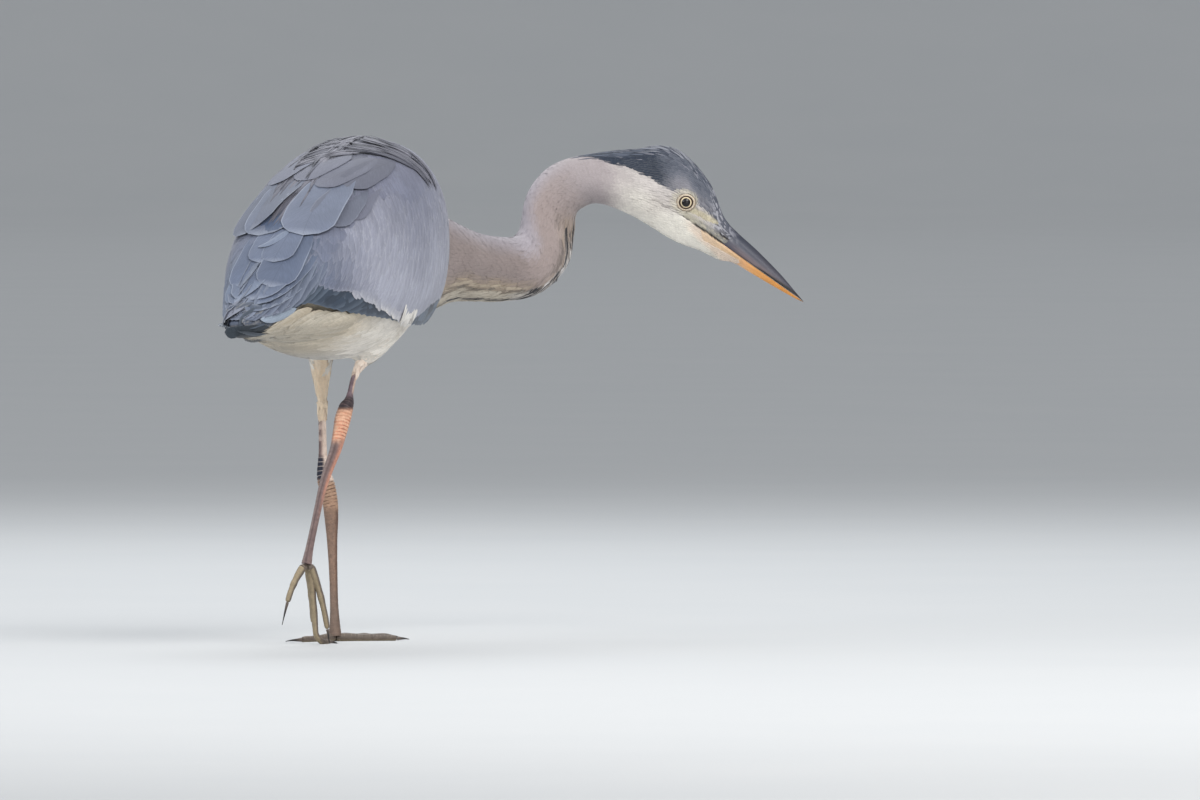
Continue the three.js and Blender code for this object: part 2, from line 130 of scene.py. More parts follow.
E_U = np.array([-SN, -CS, 0.0])  # the way the bill points, over the floor
E_D = np.array([CS, -SN, 0.0])  # across it, towards the bird's left
E_U /= np.linalg.norm(E_U)
E_D /= np.linalg.norm(E_D)


def unit(v):
    return v / np.maximum(np.linalg.norm(v, axis=-1, keepdims=True), 1e-12)


def lin(r, g, b):
    c = np.array([r, g, b], float) / 255
    return np.where(c <= 0.04045, c / 12.92, ((c + 0.055) / 1.055) ** 2.4)


def mix(a, b, t):
    t = np.asarray(t, float)[..., None]
    return np.asarray(a) * (1 - t) + np.asarray(b) * t


def noise(p, scale, seed=0):
    """Value noise in 0..1 of points in metres; scale is cells per metre."""
    q = np.asarray(p, float) * scale + 1000.0 + seed * 17.31
    i = np.floor(q).astype(np.int64)
    f = q - i
    f = f * f * (3 - 2 * f)

    def h(o):
        n = (i[..., 0] + o[0]) * 73856093 ^ (i[..., 1] + o[1]) * 19349663 ^ (i[..., 2] + o[2]) * 83492791 ^ (seed * 2654435)
        n = (n ^ (n >> 13)) * 1274126177
        n = n ^ (n >> 16)
        return (n & 0xFFFFF) / float(0xFFFFF)

    out = 0
    for o in [(a, b, c) for a in (0, 1) for b in (0, 1) for c in (0, 1)]:
        w = 1
        for k in range(3):
            w = w * (f[..., k] if o[k] else 1 - f[..., k])
        out = out + w * h(o)
    return out


bodyWidth = curve([[0, 8], [30, 20.5], [60, 33.5], [100, 50.5], [150, 71], [200, 83.5], [250, 91],
                   [300, 93], [340, 90], [370, 77], [400, 52], [425, 30], [445, 10]])
bodyTop = curve([[0, 325], [30, 338], [60, 356], [100, 389], [150, 426], [200, 458], [250, 483],
                 [300, 499], [335, 504], [370, 493], [400, 469], [425, 440], [445, 405]])
bodyBottom = curve([[0, 311], [30, 306.5], [60, 304], [100, 299], [150, 290], [200, 282], [235, 278.5],
                    [270, 279], [300, 281], [340, 288], [370, 300], [400, 325], [425, 350], [445, 373]])
bodyTurn = curve([[0, 0], [325, 0], [345, 1.5], [370, 5], [400, 12], [425, 20], [445, 27]])
trunkWidth = curve([[42, 7], [60, 18], [100, 36], [150, 61], [200, 78], [250, 86], [300, 88.5],
                    [340, 85.5], [370, 73], [400, 50], [425, 30], [442, 12]])
trunkBottom = curve([[42, 312], [60, 308], [100, 300], [150, 290], [200, 282], [235, 278.5],
                     [270, 280.5], [300, 286], [340, 298], [370, 311], [400, 328], [425, 350], [442, 372]])
wingUpper = curve([[0, 3], [140, 3], [200, 9], [250, 17], [300, 27], [340, 42], [365, 62], [386, 92]])
wingLower = curve([[0, 316], [15, 318], [30, 323], [50, 332], [80, 336], [135, 328], [200, 321],
                   [260, 316], [320, 313], [360, 315], [386, 328]])
SQUARE = 2.35


def trunkTop(s):
    return bodyTop(s) - 9 * (1 - smooth(170, 250, s))


def section(s, a, inset, width, top, bottom):
    mid = (top(s) + bottom(s)) / 2
    high = (top(s) - bottom(s)) / 2 - inset
    wide = width(s) - inset
    return (
        np.maximum(0.2, wide) * power(np.sin(a), 2 / SQUARE),
        mid + np.maximum(0.2, high) * power(np.cos(a), 2 / SQUARE),
    )


def wingFoot(s):
    """The angle from the ridge at which the folded wing's lower edge lies."""
    mid = (bodyTop(s) + bodyBottom(s)) / 2
    high = (bodyTop(s) - bodyBottom(s)) / 2
    return np.arccos(power(np.clip((wingLower(s) - mid) / high, -0.99, 0.99), SQUARE / 2))


def outline(s, a, inset=0.0):
    """The closed wings and body as one outer surface."""
    s, a = np.broadcast_arrays(np.asarray(s, float), np.asarray(a, float))
    r, z = section(s, a, inset, bodyWidth, bodyTop, bodyBottom)
    return bird(s, r + bodyTurn(s), z)


def flesh(s, a, inset):
    """Wings down to their lower edge, the narrower trunk below it."""
    s, a = np.broadcast_arrays(np.asarray(s, float), np.asarray(a, float))
    r1, z1 = section(s, a, inset, bodyWidth, bodyTop, bodyBottom)
    r2, z2 = section(s, a, inset + 1.5, trunkWidth, trunkTop, trunkBottom)
    foot = wingFoot(s)
    w = smooth(foot - 0.22, foot - 0.03, np.abs(a)) * (1 - smooth(385, 400, s)) + smooth(385, 400, s)
    return bird(s, r1 * (1 - w) + r2 * w + bodyTurn(s), z1 * (1 - w) + z2 * w)


STATIONS = [
    [155.5, 441.0, 161.5, 308.0, 345, 41.0, 0.0], [187.3, 433.0, 187.3, 324.5, 386, 35.5, 0.0],
    [215.2, 417.5, 211.1, 335.0, 414, 32.0, 0.0], [240.1, 406.1, 237.1, 335.6, 441, 28.0, 0.0],
    [263.2, 401.7, 263.2, 335.1, 466, 26.0, 0.0], [277.2, 401.9, 294.4, 339.8, 485, 25.0, 0.3],
    [283.2, 407.3, 316.5, 353.8, 498, 25.0, 0.35], [284.7, 418.3, 332.7, 374.8, 507, 24.5, 0.28],
    [286.2, 433.4, 337.7, 401.0, 512, 24.0, 0.2], [292.2, 449.5, 341.3, 423.2, 516, 24.0, 0.1],
    [306.4, 467.2, 349.8, 430.3, 519, 24.0, 0.0], [325.6, 478.3, 360.0, 433.3, 521, 23.5, 0.0],
    [351.9, 484.8, 374.1, 430.2, 522, 22.5, 0.0], [380.2, 488.4, 394.3, 421.6, 522, 21.0, 0.0],
    [404.4, 489.4, 412.5, 411.5, 522, 20.5, 0.0], [425.7, 492.4, 432.8, 398.9, 522, 20.0, 0.0],
    [445.9, 486.3, 447.9, 391.5, 522, 19.0, 0.0], [464.1, 469.7, 462.1, 386.7, 522, 16.5, 0.0],
    [478.3, 448.4, 473.2, 381.7, 522, 13.5, 0.0], [489.4, 420.1, 485.3, 376.6, 522, 10.3, 0.0],
    [503.5, 404.4, 498.5, 373.8, 522, 8.2, 0.0], [523.2, 386.4, 516.4, 363.2, 522, 6.6, 0.0],
    [546.8, 362.3, 542.6, 347.8, 522, 4.2, 0.0], [563.8, 342.2, 560.6, 337.8, 522, 1.8, 0.0],
    [570.3, 334.8, 570.0, 333.6, 522, 0.6, 0.0],
]
NAPE, BILL, TIP = 13, 19, 24
station = rows(STATIONS)
plan = curve([[0, 47], [4, 47], [9, 0], [TIP, 0]])
crownTaper = curve([[0, 0.06], [11, 0.06], [15, 0.24], [18, 0.3], [21, 0.5], [TIP, 0.5]])
throatTaper = curve([[0, 0.1], [11, 0.12], [15, 0.3], [19, 0.4], [TIP, 0.3]])
GAPE, POINT = (442.9, 425.2), (570.2, 334.3)
EYE_U, EYE_Z, EYE_D, EYE_OUT, EYE_R = 450.9, 435.0, 522.0, 12.4, 8.0


def gapeLine(u):
    """Height of the line where the mandibles meet."""
    return GAPE[1] + (np.asarray(u) - GAPE[0]) * (POINT[1] - GAPE[1]) / (POINT[0] - GAPE[0])


def neckParts(t):
    st = station(t)
    tu, tz, bu, bz, d, half, lean = [st[..., k] for k in range(7)]
    top = np.stack([tu, d + lean * (tu - bu) * 0.5, tz], -1)
    low = np.stack([bu, d - lean * (tu - bu) * 0.5, bz], -1)
    mid, up = (top + low) / 2, (top - low) / 2
    a = plan(t) * DEG
    side = np.stack([-np.sin(a), np.cos(a), np.zeros_like(a)], -1)
    return mid, up, side, half


def neckAt(t, th, inset=0.0):
    """Point of the neck, head and bill outline: th is 0 at the top, pi at the throat, and
    its sine is positive on the bird's left."""
    t, th, inset = np.broadcast_arrays(np.asarray(t, float), np.asarray(th, float), np.asarray(inset, float))
    mid, up, side, half = neckParts(t)
    q, p = np.cos(th), np.sin(th)
    tall = np.linalg.norm(up, axis=-1)
    scale = np.maximum(0.15, (tall - inset) / tall)
    taper = 1 - np.where(q > 0, crownTaper(t), throatTaper(t)) * q * q
    wide = np.maximum(0.15 * half, half * taper - inset)
    at = mid + up * (q * scale)[..., None] + side * (wide * p)[..., None]
    return swung(at[..., 0], at[..., 1], at[..., 2])


LEFT = [
    [304, -34, 325, 34, 24], [302, -31, 300, 26, 18], [300.7, -29.9, 280, 18.5, 12.6],
    [299.5, -28.8, 262, 14, 10.4], [298.7, -28, 250, 10, 7.6], [298.2, -27.5, 240, 6.4, 5],
    [297.9, -27.2, 232.8, 4.8, 3.8], [297, -26.5, 215, 4.5, 3.9], [295, -25.2, 190, 4.6, 4.1],
    [294.2, -24.8, 176, 5.6, 5.4], [294, -23.8, 167, 7.6, 6.8], [294, -21.4, 158, 8.8, 8.2],
    [294.4, -19, 148, 8.9, 8.2], [294.8, -17, 136, 8.2, 7.7], [294.4, -15.8, 122, 7.2, 7],
    [292.5, -14.2, 100, 5.6, 5.4], [289.5, -11.8, 70, 4.8, 4.3], [287, -9.8, 38, 4.8, 4.2],
    [285.9, -8.6, 18, 6.2, 5.2], [285.7, -8.3, 5.2, 7.4, 6.6],
]
RIGHT = [
    [297, 56, 340, 32, 24], [284, 49, 318, 26, 20], [275, 41, 301, 20, 16.5], [270, 36, 290, 15, 12.5],
    [265.4, 29.6, 280, 8.5, 6.6], [262.2, 26.6, 272.8, 4.9, 3], [257.5, 25.4, 266, 4.2, 2.4],
    [252.8, 25.1, 260.5, 4.2, 2.4], [244, 26, 248.5, 4.4, 2.7], [238.5, 26.6, 240, 6.2, 5],
    [233, 25.4, 233, 8.4, 7.2], [229, 23.8, 223, 8.9, 8], [225, 22.9, 212, 8.3, 7.2],
    [218.6, 20.4, 192.7, 6.9, 5.8], [211, 15.6, 173, 5.8, 5], [202.7, 12.6, 153.2, 5, 4.1],
    [193.1, 10.2, 126.6, 4.7, 3.6], [184.5, 7, 97, 5, 3.9], [180, 5.4, 80, 6.4, 5.2],
]
FEATHERED = {"left": 6, "right": 5}
ANKLE = {"left": 11, "right": 10}


def limbAt(table, k, w, swell=0.0, floor=False):
    """Point of a limb: k is the row, w the turn about it, swell added to both radii. Also
    gives the outward direction there."""
    at = rows(table)
    k, w, swell = np.broadcast_arrays(np.asarray(k, float), np.asarray(w, float), np.asarray(swell, float))
    st = at(k)
    a, b = at(np.maximum(0, k - 0.05)), at(np.minimum(len(table) - 1, k + 0.05))
    along = unit(bird(b[..., 0], b[..., 1], b[..., 2]) - bird(a[..., 0], a[..., 1], a[..., 2]))
    flat = np.abs(along[..., 2:]) < 0.6
    guide = np.where(flat, np.array([0, 0, 1.0]), np.array([0, -1.0, 0]))
    one = unit(guide - along * (guide * along).sum(-1, keepdims=True))
    two = unit(np.cross(along, one))
    out = one * (np.cos(w))[..., None] * (st[..., 3] + swell)[..., None] + two * (np.sin(w))[..., None] * (
        st[..., 4] + swell
    )[..., None]
    p = bird(st[..., 0], st[..., 1], st[..., 2]) + out * 0.001
    if floor:
        p[..., 2] = np.maximum(p[..., 2], 0.0)
    return p, unit(out), along


# ---- meshes ---------------------------------------------------------------------------
def mesh_from(name, verts, quads=(), tris=(), uvs=None, colours=None, flat=False):
    quads = np.asarray(quads, np.int32).reshape(-1, 4)
    tris = np.asarray(tris, np.int32).reshape(-1, 3)
    me = bpy.data.meshes.new(name)
    me.vertices.add(len(verts))
    me.vertices.foreach_set("co", np.asarray(verts, np.float32).ravel())
    loops = np.concatenate([quads.ravel(), tris.ravel()]).astype(np.int32)
    me.loops.add(len(loops))
    me.loops.foreach_set("vertex_index", loops)
    starts = np.concatenate([np.arange(len(quads)) * 4, len(quads) * 4 + np.arange(len(tris)) * 3]).astype(np.int32)
    me.polygons.add(len(starts))
    me.polygons.foreach_set("loop_start", starts)
    me.update(calc_edges=True)
    me.polygons.foreach_set("use_smooth", np.full(len(starts), not flat))
    for key, uv in (uvs or {}).items():
        layer = me.uv_layers.new(name=key)
        layer.data.foreach_set("uv", np.asarray(uv, np.float32)[loops].ravel())
    if colours is not None:
        paint(me, colours)
    me.update()
    return me


def paint(me, colours, name="Col"):
    layer = me.color_attributes.get(name) or me.color_attributes.new(name, "FLOAT_COLOR", "POINT")
    rgba = np.ones((len(me.vertices), 4), np.float32)
    rgba[:, :3] = np.clip(colours, 0, 1)
    layer.data.foreach_set("color", rgba.ravel())


def object_from(me, material=None):
    ob = bpy.data.objects.new(me.name, me)
    bpy.context.scene.collection.objects.link(ob)
    if material is not None:
        me.materials.append(material)
    return ob


def tube(points, closed_caps=True):
    """Vertices and faces of a closed loft over rings (m, n, 3), with a point at each end."""
    m, n = points.shape[:2]
    verts = np.concatenate([points.reshape(-1, 3), [points[0].mean(0)], [points[-1].mean(0)]])
    i = np.arange(m - 1)[:, None] * n
    j = np.arange(n)[None]
    k = (j + 1) % n
    quads = np.stack([i + j, i + k, i + n + k, i + n + j], -1).reshape(-1, 4)
    a, b = m * n, m * n + 1
    j, k = np.arange(n), (np.arange(n) + 1) % n
    tris = np.concatenate([np.stack([k, j, np.full(n, a)], -1), np.stack([(m - 1) * n + j, (m - 1) * n + k, np.full(n, b)], -1)])
    return verts, quads, tris


def signed_volume(verts, quads, tris):
    t = np.concatenate([quads[:, [0, 1, 2]], quads[:, [0, 2, 3]], tris]) if len(quads) else tris
    a, b, c = verts[t[:, 0]], verts[t[:, 1]], verts[t[:, 2]]
    return np.einsum("ij,ij->i", a, np.cross(b, c)).sum() / 6


def outward(verts, quads, tris):
    if signed_volume(verts, quads, tris) < 0:
        quads, tris = quads[:, ::-1], tris[:, ::-1]
    return verts, quads, tris


def joined(parts):
    V, Q, T, n = [], [], [], 0
    for v, q, t in parts:
        V.append(v)
        Q.append(q + n)
        T.append(t + n)
        n += len(v)
    return np.concatenate(V), np.concatenate(Q), np.concatenate(T)


def coords(me):
    co = np.empty(len(me.vertices) * 3, np.float32)
    me.vertices.foreach_get("co", co)
    return co.reshape(-1, 3).astype(float)


def apply_modifiers(ob):
    deps = bpy.context.evaluated_depsgraph_get()
    me = bpy.data.meshes.new_from_object(ob.evaluated_get(deps))
    old = ob.data
    ob.modifiers.clear()
    ob.data = me
    bpy.data.meshes.remove(old)
    return ob


# ---- the skin ---------------------------------------------------------------------------
def grid_loft(fn, n, m):
    """fn(i, j) arrays -> points; n rings, m around."""
    i = np.arange(n)[:, None] + np.zeros((1, m))
    j = np.zeros((n, 1)) + np.arange(m)[None]
    return outward(*tube(fn(i, j)))


def trunk_loft():
    n, m = 96, 96
    f = 0.5 - 0.5 * np.cos(np.pi * (0.05 + 0.90 * np.arange(n) / (n - 1)))
    s = 34 + (438 - 34) * (f - f[0]) / (f[-1] - f[0])

    def fn(i, j):
        ss = s[i.astype(int)]
        a = (j / m * 2 - 1) * math.pi
        end = smooth(34, 70, ss)
        low = smooth(wingFoot(ss) - 0.3, wingFoot(ss) + 0.05, np.abs(a))
        inset = TRUNK_COAT + (BELLY_COAT - TRUNK_COAT) * low
        return flesh(np.maximum(ss, 43), a, inset * (0.35 + 0.65 * end)) + bird(ss, 0, 0) - bird(np.maximum(ss, 43), 0, 0)

    return grid_loft(fn, n, m)


def rump_loft():
    """Flesh under the folded wing tips, over the tail."""
    s = np.linspace(5, 90, 30)

    def fn(i, j):
        ss = s[i.astype(int)]
        return outline(ss, (j / 40 * 2 - 1) * math.pi, 3.6 + 4.5 * smooth(30, 80, ss))

    return grid_loft(fn, 30, 40)


def neck_loft(t0, t1, n, m, inset):
    t = np.linspace(t0, t1, n)

    def fn(i, j):
        tt = t[i.astype(int)]
        return neckAt(tt, j / m * TAU, inset(tt))

    return grid_loft(fn, n, m)


def limb_loft(table, k0, k1, n, m, swell, floor=False):
    k = np.linspace(k0, k1, n)

    def fn(i, j):
        kk = k[i.astype(int)]
        return limbAt(table, kk, j / m * TAU, swell(kk), floor)[0]

    return grid_loft(fn, n, m)


TRUNK_COAT, BELLY_COAT, NECK_COAT, HEAD_COAT, THIGH_COAT = 6.0, 3.6, 2.4, 1.5, 3.2


def neck_coat(t):
    """Depth of the coat along the neck and head."""
    return NECK_COAT + (HEAD_COAT - NECK_COAT) * smooth(11.5, 14.5, t) - 1.2 * smooth(17.0, 19.0, t)


def thigh_swell(side):
    def f(k):
        e = FEATHERED[side]
        return -THIGH_COAT * (1 - smooth(e - 3.0, e - 0.2, k))
    return f


core = [trunk_loft(), rump_loft(), neck_loft(0.0, 7.0, 90, 64, lambda t: neck_coat(t) + 0.5 * smooth(5.5, 7, t))]
for side, table in (("left", LEFT), ("right", RIGHT)):
    core.append(limb_loft(table, 0, FEATHERED[side] - 0.6, 60, 40, thigh_swell(side)))
body = object_from(mesh_from("core", *joined(core)))
mod = body.modifiers.new("remesh", "REMESH")
mod.mode = "VOXEL"
mod.voxel_size = 0.0039
mod.use_smooth_shade = True
apply_modifiers(body)
mod = body.modifiers.new("smooth", "SMOOTH")
mod.factor = 0.5
mod.iterations = 14
apply_modifiers(body)
co = coords(body.data)
q = np.empty(len(body.data.loops), np.int32)
body.data.loops.foreach_get("vertex_index", q)
body_part = (co, q.reshape(-1, 4), np.zeros((0, 3), int))
bpy.data.objects.remove(body)


# The head and the upper neck, fine enough for the sockets and the corners of the bill.
def gauss(x, w):
    return np.exp(-((x / w) ** 2))


def bare_lores(u, z):
    """1 on the bare strip between the eye and the bill, 0 off it."""
    x = (u - 453.0) / 31.0
    mid = 429.0 - 15.0 * x - 1.5 * x * x
    half = 3.2 * np.sqrt(np.clip(1 - ((x - 0.42) / 0.62) ** 2, 0, 1))
    return smooth(-2.6, 1.6, half - np.abs(z - mid)) * smooth(-0.22, -0.08, x) * smooth(1.08, 0.96, x)


def bare_jaw(u, z):
    """1 on the bare side of the lower mandible, from the gape's middle to the bill."""
    low = np.interp(u, [463, 468, 480, 493, 506, 512], [417.5, 396.5, 389.0, 382.5, 374.0, 371.0])
    high = gapeLine(u)
    return smooth(0.0, 1.6, z - low) * smooth(-0.6, 0.4, high - z) * smooth(461, 467, u)


def head_points(t, th, extra=0.0):
    """Skin of the head: brow, sockets, the groove of the gape and the flat of the lores."""
    t = np.asarray(t, float)
    over = smooth(-0.25, 0.25, np.cos(th) + 0.25)
    sink = 1.5 * smooth(19.35, 19.9, t) * over + 0.9 * smooth(20.2, 20.6, t) * (1 - over)
    p = neckAt(t, th, neck_coat(t) + sink + extra)
    u, d, z = unswung(p)
    side = np.sign(d - EYE_D)
    out = np.abs(d - EYE_D)
    rho = np.hypot((u - EYE_U) / 1.05, z - EYE_Z)
    out = out - (out - 16.9) * (1 - smooth(8.2, 12.0, rho)) * (side != 0)
    out = np.where(rho < 8.2, np.minimum(out, 16.9 - 4.2 * (1 - smooth(5.6, 6.7, rho))), out)
    # a brow over the eye, a hollow before it
    brow = gauss(rho - 11.5, 2.6) * smooth(-0.2, 0.8, (z - EYE_Z) / 10) * smooth(-0.5, 0.6, (u - EYE_U) / 12 + 0.4)
    out = out + 0.9 * brow
    lores = gauss(u - 468, 9) * gauss(z - gapeLine(u) - 9, 7)
    out = out - 1.4 * lores
    # the gape's groove runs back under the eye
    groove = gauss(z - gapeLine(u), 0.85) * smooth(441, 446, u)
    out = out - 0.9 * groove * (out > 4)
    out = out + 0.5 * gauss(z - gapeLine(u) + 2.4, 1.7) * smooth(446, 462, u) * (out > 4)
    return swung(u, EYE_D + side * out, z)


def head_loft():
    t = np.concatenate([np.linspace(5.6, 13, 96)[:-1], np.linspace(13, 15, 36)[:-1], np.linspace(15, 18.6, 122)[:-1], np.linspace(18.6, 20.7, 34)])
    m = 112

    def fn(i, j):
        tt = t[i.astype(int)]
        th = j / m * TAU
        a = neckAt(tt, th, neck_coat(tt))
        b = head_points(tt, th)
        return a + (b - a) * smooth(13.2, 14.2, tt)[..., None]

    return grid_loft(fn, len(t), m), t


head_part, HEAD_T = head_loft()


def lid_ring(side):
    """The rim of the eye, turned about its axis: a dark inner margin and a pale ring."""
    prof = [(5.85, 14.2), (5.95, 18.25), (6.15, 18.5), (6.4, 18.5), (6.65, 18.15), (6.95, 17.75), (7.25, 17.85),
            (7.5, 17.95), (8.0, 17.95), (8.5, 17.65), (8.9, 17.2), (9.2, 17.05), (9.5, 16.9), (10.2, 15.8), (10.2, 13.5)]
    n = 72
    prof = np.array(prof)
    a = np.arange(n) / n * TAU
    rho = prof[:, 0][:, None] * np.ones(n)
    out = prof[:, 1][:, None] + 0.12 * np.sin(7 * a)[None] * smooth(6.9, 7.6, rho) + 0.0 * rho
    u = EYE_U + rho * np.cos(a) * 1.04
    z = EYE_Z + rho * np.sin(a) * (0.955 - 0.02 * np.cos(a))
    p = swung(u, EYE_D + side * out, z)
    i = np.arange(len(prof))[:, None] * n
    nxt = (np.arange(len(prof))[:, None] + 1) % len(prof) * n
    j, k = np.arange(n)[None], (np.arange(n)[None] + 1) % n
    quads = np.stack(np.broadcast_arrays(i + j, i + k, nxt + k, nxt + j), -1).reshape(-1, 4)
    v = p.reshape(-1, 3)
    return outward(v, quads, np.zeros((0, 3), int))


# Legs and toes, with their scutes, wrinkles and pads.
MIDDLE_TOE, INNER_TOE, OUTER_TOE, HIND_TOE = 86, 63, 69, 45
TURNED_IN, TURNED_OUT = 17, 20
TOES = [("middle", 0, MIDDLE_TOE, 14), ("inner", 40, INNER_TOE, 12), ("outer", -34, OUTER_TOE, 12), ("hind", 172, HIND_TOE, 21)]
ROOTS = {"left": (285.7, -8.3, 4), "right": (180, 5.4, 76)}


def hang(name, f):
    if name == "middle":
        return (82 - 80 * float(smooth(0.72, 1.0, f))) * DEG
    if name == "hind":
        return (44 + 26 * f) * DEG
    return (66 + 14 * f) * DEG


def toe_path(root, heading, length, lifted, name):
    out = []
    c, k = math.cos(heading * DEG), math.sin(heading * DEG)
    along, z, first, prev, steps = 0.0, root[2], 5.5, 0.0, 8
    for i in range(steps + 1):
        f = i / steps
        tilt = hang(name, f) if lifted else 0
        if i > 0:
            l = (f - prev) * (length - first)
            along += l * math.cos(tilt)
            z -= l * math.sin(tilt)
            prev = f
        thick = 4.1 - 1.5 * f + 0.45 * math.sin(f * 3 * math.pi) ** 2
        if not lifted:
            z = thick * 0.86
        out.append([root[0] + c * (first + along), root[1] + k * (first + along), z, thick, thick * 0.92])
    if lifted and name == "middle":
        end = out[steps]
        drop = (root[2] - 0.86 * end[3]) / (root[2] - end[2])
        for p in out:
            p[2] = root[2] - (root[2] - p[2]) * drop
    return out


def claw_path(toe, length, rest):
    a, b = np.array(toe[-2]), np.array(toe[-1])
    d = b[:3] - a[:3]
    if rest:
        d[2] = 0
    d = d / np.linalg.norm(d)
    out = []
    for i in range(5):
        f = i / 4
        l = 0.35 + length * f
        size = max(0.45, b[3] * (0.8 - 0.66 * f))
        z = max(size + 0.4, b[2] + 0.6 * math.sin(f * 2.6) - 1.2 * f) if rest else b[2] + d[2] * l - 2.2 * f * f
        out.append([b[0] + d[0] * l, b[1] + d[1] * l, z, size, size * 0.72])
    return out


def scutes(x, period, duty=0.16):
    """A plate's rise and step over one period: high at its lower edge."""
    f = x / period - np.floor(x / period)
    return smooth(0, duty, f) * (1 - 0.35 * f)


leg_parts, leg_info = [], []


def leg_surface(table, k0, k1, n, m, relief, floor, kind, tip_round=0.0):
    k = np.linspace(k0, k1, n)
    at = rows(table)
    c = at(k)[:, :3]
    arc = np.concatenate([[0], np.cumsum(np.linalg.norm(np.diff(c, axis=0), axis=1))])

    def fn(i, j):
        ii = i.astype(int)
        w = j / m * TAU
        kk = k[ii]
        sw = relief(kk, w, arc[ii])
        if tip_round:
            end = arc[-1] - arc[ii]
            size = at(kk)[..., 4]
            cap = np.sqrt(np.clip(1 - ((size - end) / size).clip(0, 1) ** 2, 0.02, 1))
            sw = sw - size * (1 - cap)
        return limbAt(table, kk, w, sw, floor)[0]

    part = grid_loft(fn, n, m)
    w = np.arange(m) / m * TAU
    info = np.concatenate([
        np.stack([np.repeat(k, m), np.tile(w, n), np.repeat(arc, m)], -1),
        [[k[0], 0, 0], [k[-1], 0, arc[-1]]],
    ])
    return part, info, kind


def cell_bumps(w, arc, across, along, radius=5.0):
    """Small six-sided scales over the backs and sides."""
    x = w * radius / across
    y = arc / along
    row = np.floor(y)
    x = x + 0.5 * (row % 2)
    fx, fy = x - np.floor(x) - 0.5, y - row - 0.5
    return smooth(0.5, 0.30, np.hypot(fx, fy * 0.9))


for side, table in (("left", LEFT), ("right", RIGHT)):
    lifted = side == "right"
    ankle, feathered = ANKLE[side], FEATHERED[side]

    def shank_relief(k, w, arc, ankle=ankle, feathered=feathered):
        back = smooth(0.2, -0.9, np.cos(w))
        s = 0.40 * scutes(arc, 4.4) * back + 0.18 * cell_bumps(w, arc, 2.2, 2.4, 4.0)
        s = s * smooth(feathered - 0.2, feathered + 0.8, k)
        # the joint's folds
        fold = gauss(k - (ankle + 0.3), 1.25)
        return s - 0.3 + 0.95 * fold * (smooth(0.0, 0.5, np.abs(((arc + 0.9 * np.sin(w * 1.0)) / 3.3) % 1 - 0.5) * 2) - 0.6)

    def tarsus_relief(k, w, arc, ankle=ankle):
        front = smooth(0.25, 0.75, np.cos(w))
        s = 0.50 * scutes(-arc, 5.2) * front + 0.26 * cell_bumps(w, arc, 2.3, 2.2) * (1 - front)
        fold = gauss(k - (ankle + 0.3), 1.25)
        s = s * (1 - fold)
        return s - 0.4 + 0.95 * fold * (smooth(0.0, 0.5, np.abs(((arc + 0.9 * np.sin(w * 1.0)) / 3.3) % 1 - 0.5) * 2) - 0.6)

    leg = lambda k, w, arc: np.where(
        k < ankle, shank_relief(k, w, arc), tarsus_relief(k, w, arc)
    ) - 1.2 * smooth(feathered - 0.1, feathered - 1.0, k)
    last = len(table) - 1
    part, info, kind = leg_surface(table, feathered - 1.0, last, 400, 30, leg, True, side)
    leg_parts.append(part)
    leg_info.append((kind, info))
    for name, turn, size, claw in TOES:
        hind = name == "hind"
        heading = TURNED_OUT + (184 if hind else -0.62 * turn) if lifted else TURNED_IN + (-172 if hind else turn)
        path = toe_path(ROOTS[side], heading, size, lifted, name)
        path_in = [[*(np.array(ROOTS[side]) * 0.75 + np.array(path[0][:3]) * 0.25), 3.4, 3.2]] + path
        if not lifted:
            path_in[0][2] = path[0][2]

        def toe_relief(k, w, arc):
            up = smooth(0.1, 0.7, np.cos(w))
            pad = smooth(-0.2, -0.8, np.cos(w))
            s = 0.30 * scutes(-arc, 3.7) * up + 0.12 * cell_bumps(w, arc, 2.0, 1.9, 3.4) * (1 - up)
            return s - 0.25 + 0.15 * pad * np.sin(arc / 3.1) ** 2

        part, info, kind = leg_surface(path_in, 0, len(path_in) - 1, 20 + int(size * 1.6), 18, toe_relief, True, "toe", 1.0)
        leg_parts.append(part)
        leg_info.append((kind, info))


def nearest(bvh, P):
    out = [bvh.find_nearest(p) for p in P.tolist()]
    return np.array([o[0][:] for o in out]), np.array([o[1][:] for o in out])


def bvh_of(part):
    v, q, t = part
    return BVHTree.FromPolygons(v.tolist(), [list(map(int, f)) for f in q] + [list(map(int, f)) for f in t])


# ---- vanes: how one feather is laid and built -------------------------------------------
def lay(bvh, P, D, L, ts, flow=None, steer=0.0, bend=0.45, up=None):
    """Runs each centreline over the surface from P along D, over the parts ts of its length
    L. Returns places, tangents and normals, (K, len(ts), 3) each."""
    P, N = (nearest(bvh, P)) if up is None else (P, up)
    d = unit(D - N * (D * N).sum(-1, keepdims=True))
    C, T, M = [P], [d], [N]
    for a, b in zip(ts[:-1], ts[1:]):
        h = (L * (b - a))[:, None]
        q = P + d * h
        loc, n = nearest(bvh, q)
        off = loc - q
        gap = np.linalg.norm(off, axis=-1, keepdims=True)
        new = q + off * np.minimum(1, bend * h / np.maximum(gap, 1e-9))
        n = unit(M[-1] * 0.35 + n * 0.65)
        e = unit(new - P)
        if flow is not None and steer:
            e = unit(e + steer * flow(new))
        d = unit(e - n * (e * n).sum(-1, keepdims=True))
        P = new
        C.append(P)
        T.append(d)
        M.append(n)
    return np.stack(C, 1), np.stack(T, 1), np.stack(M, 1)


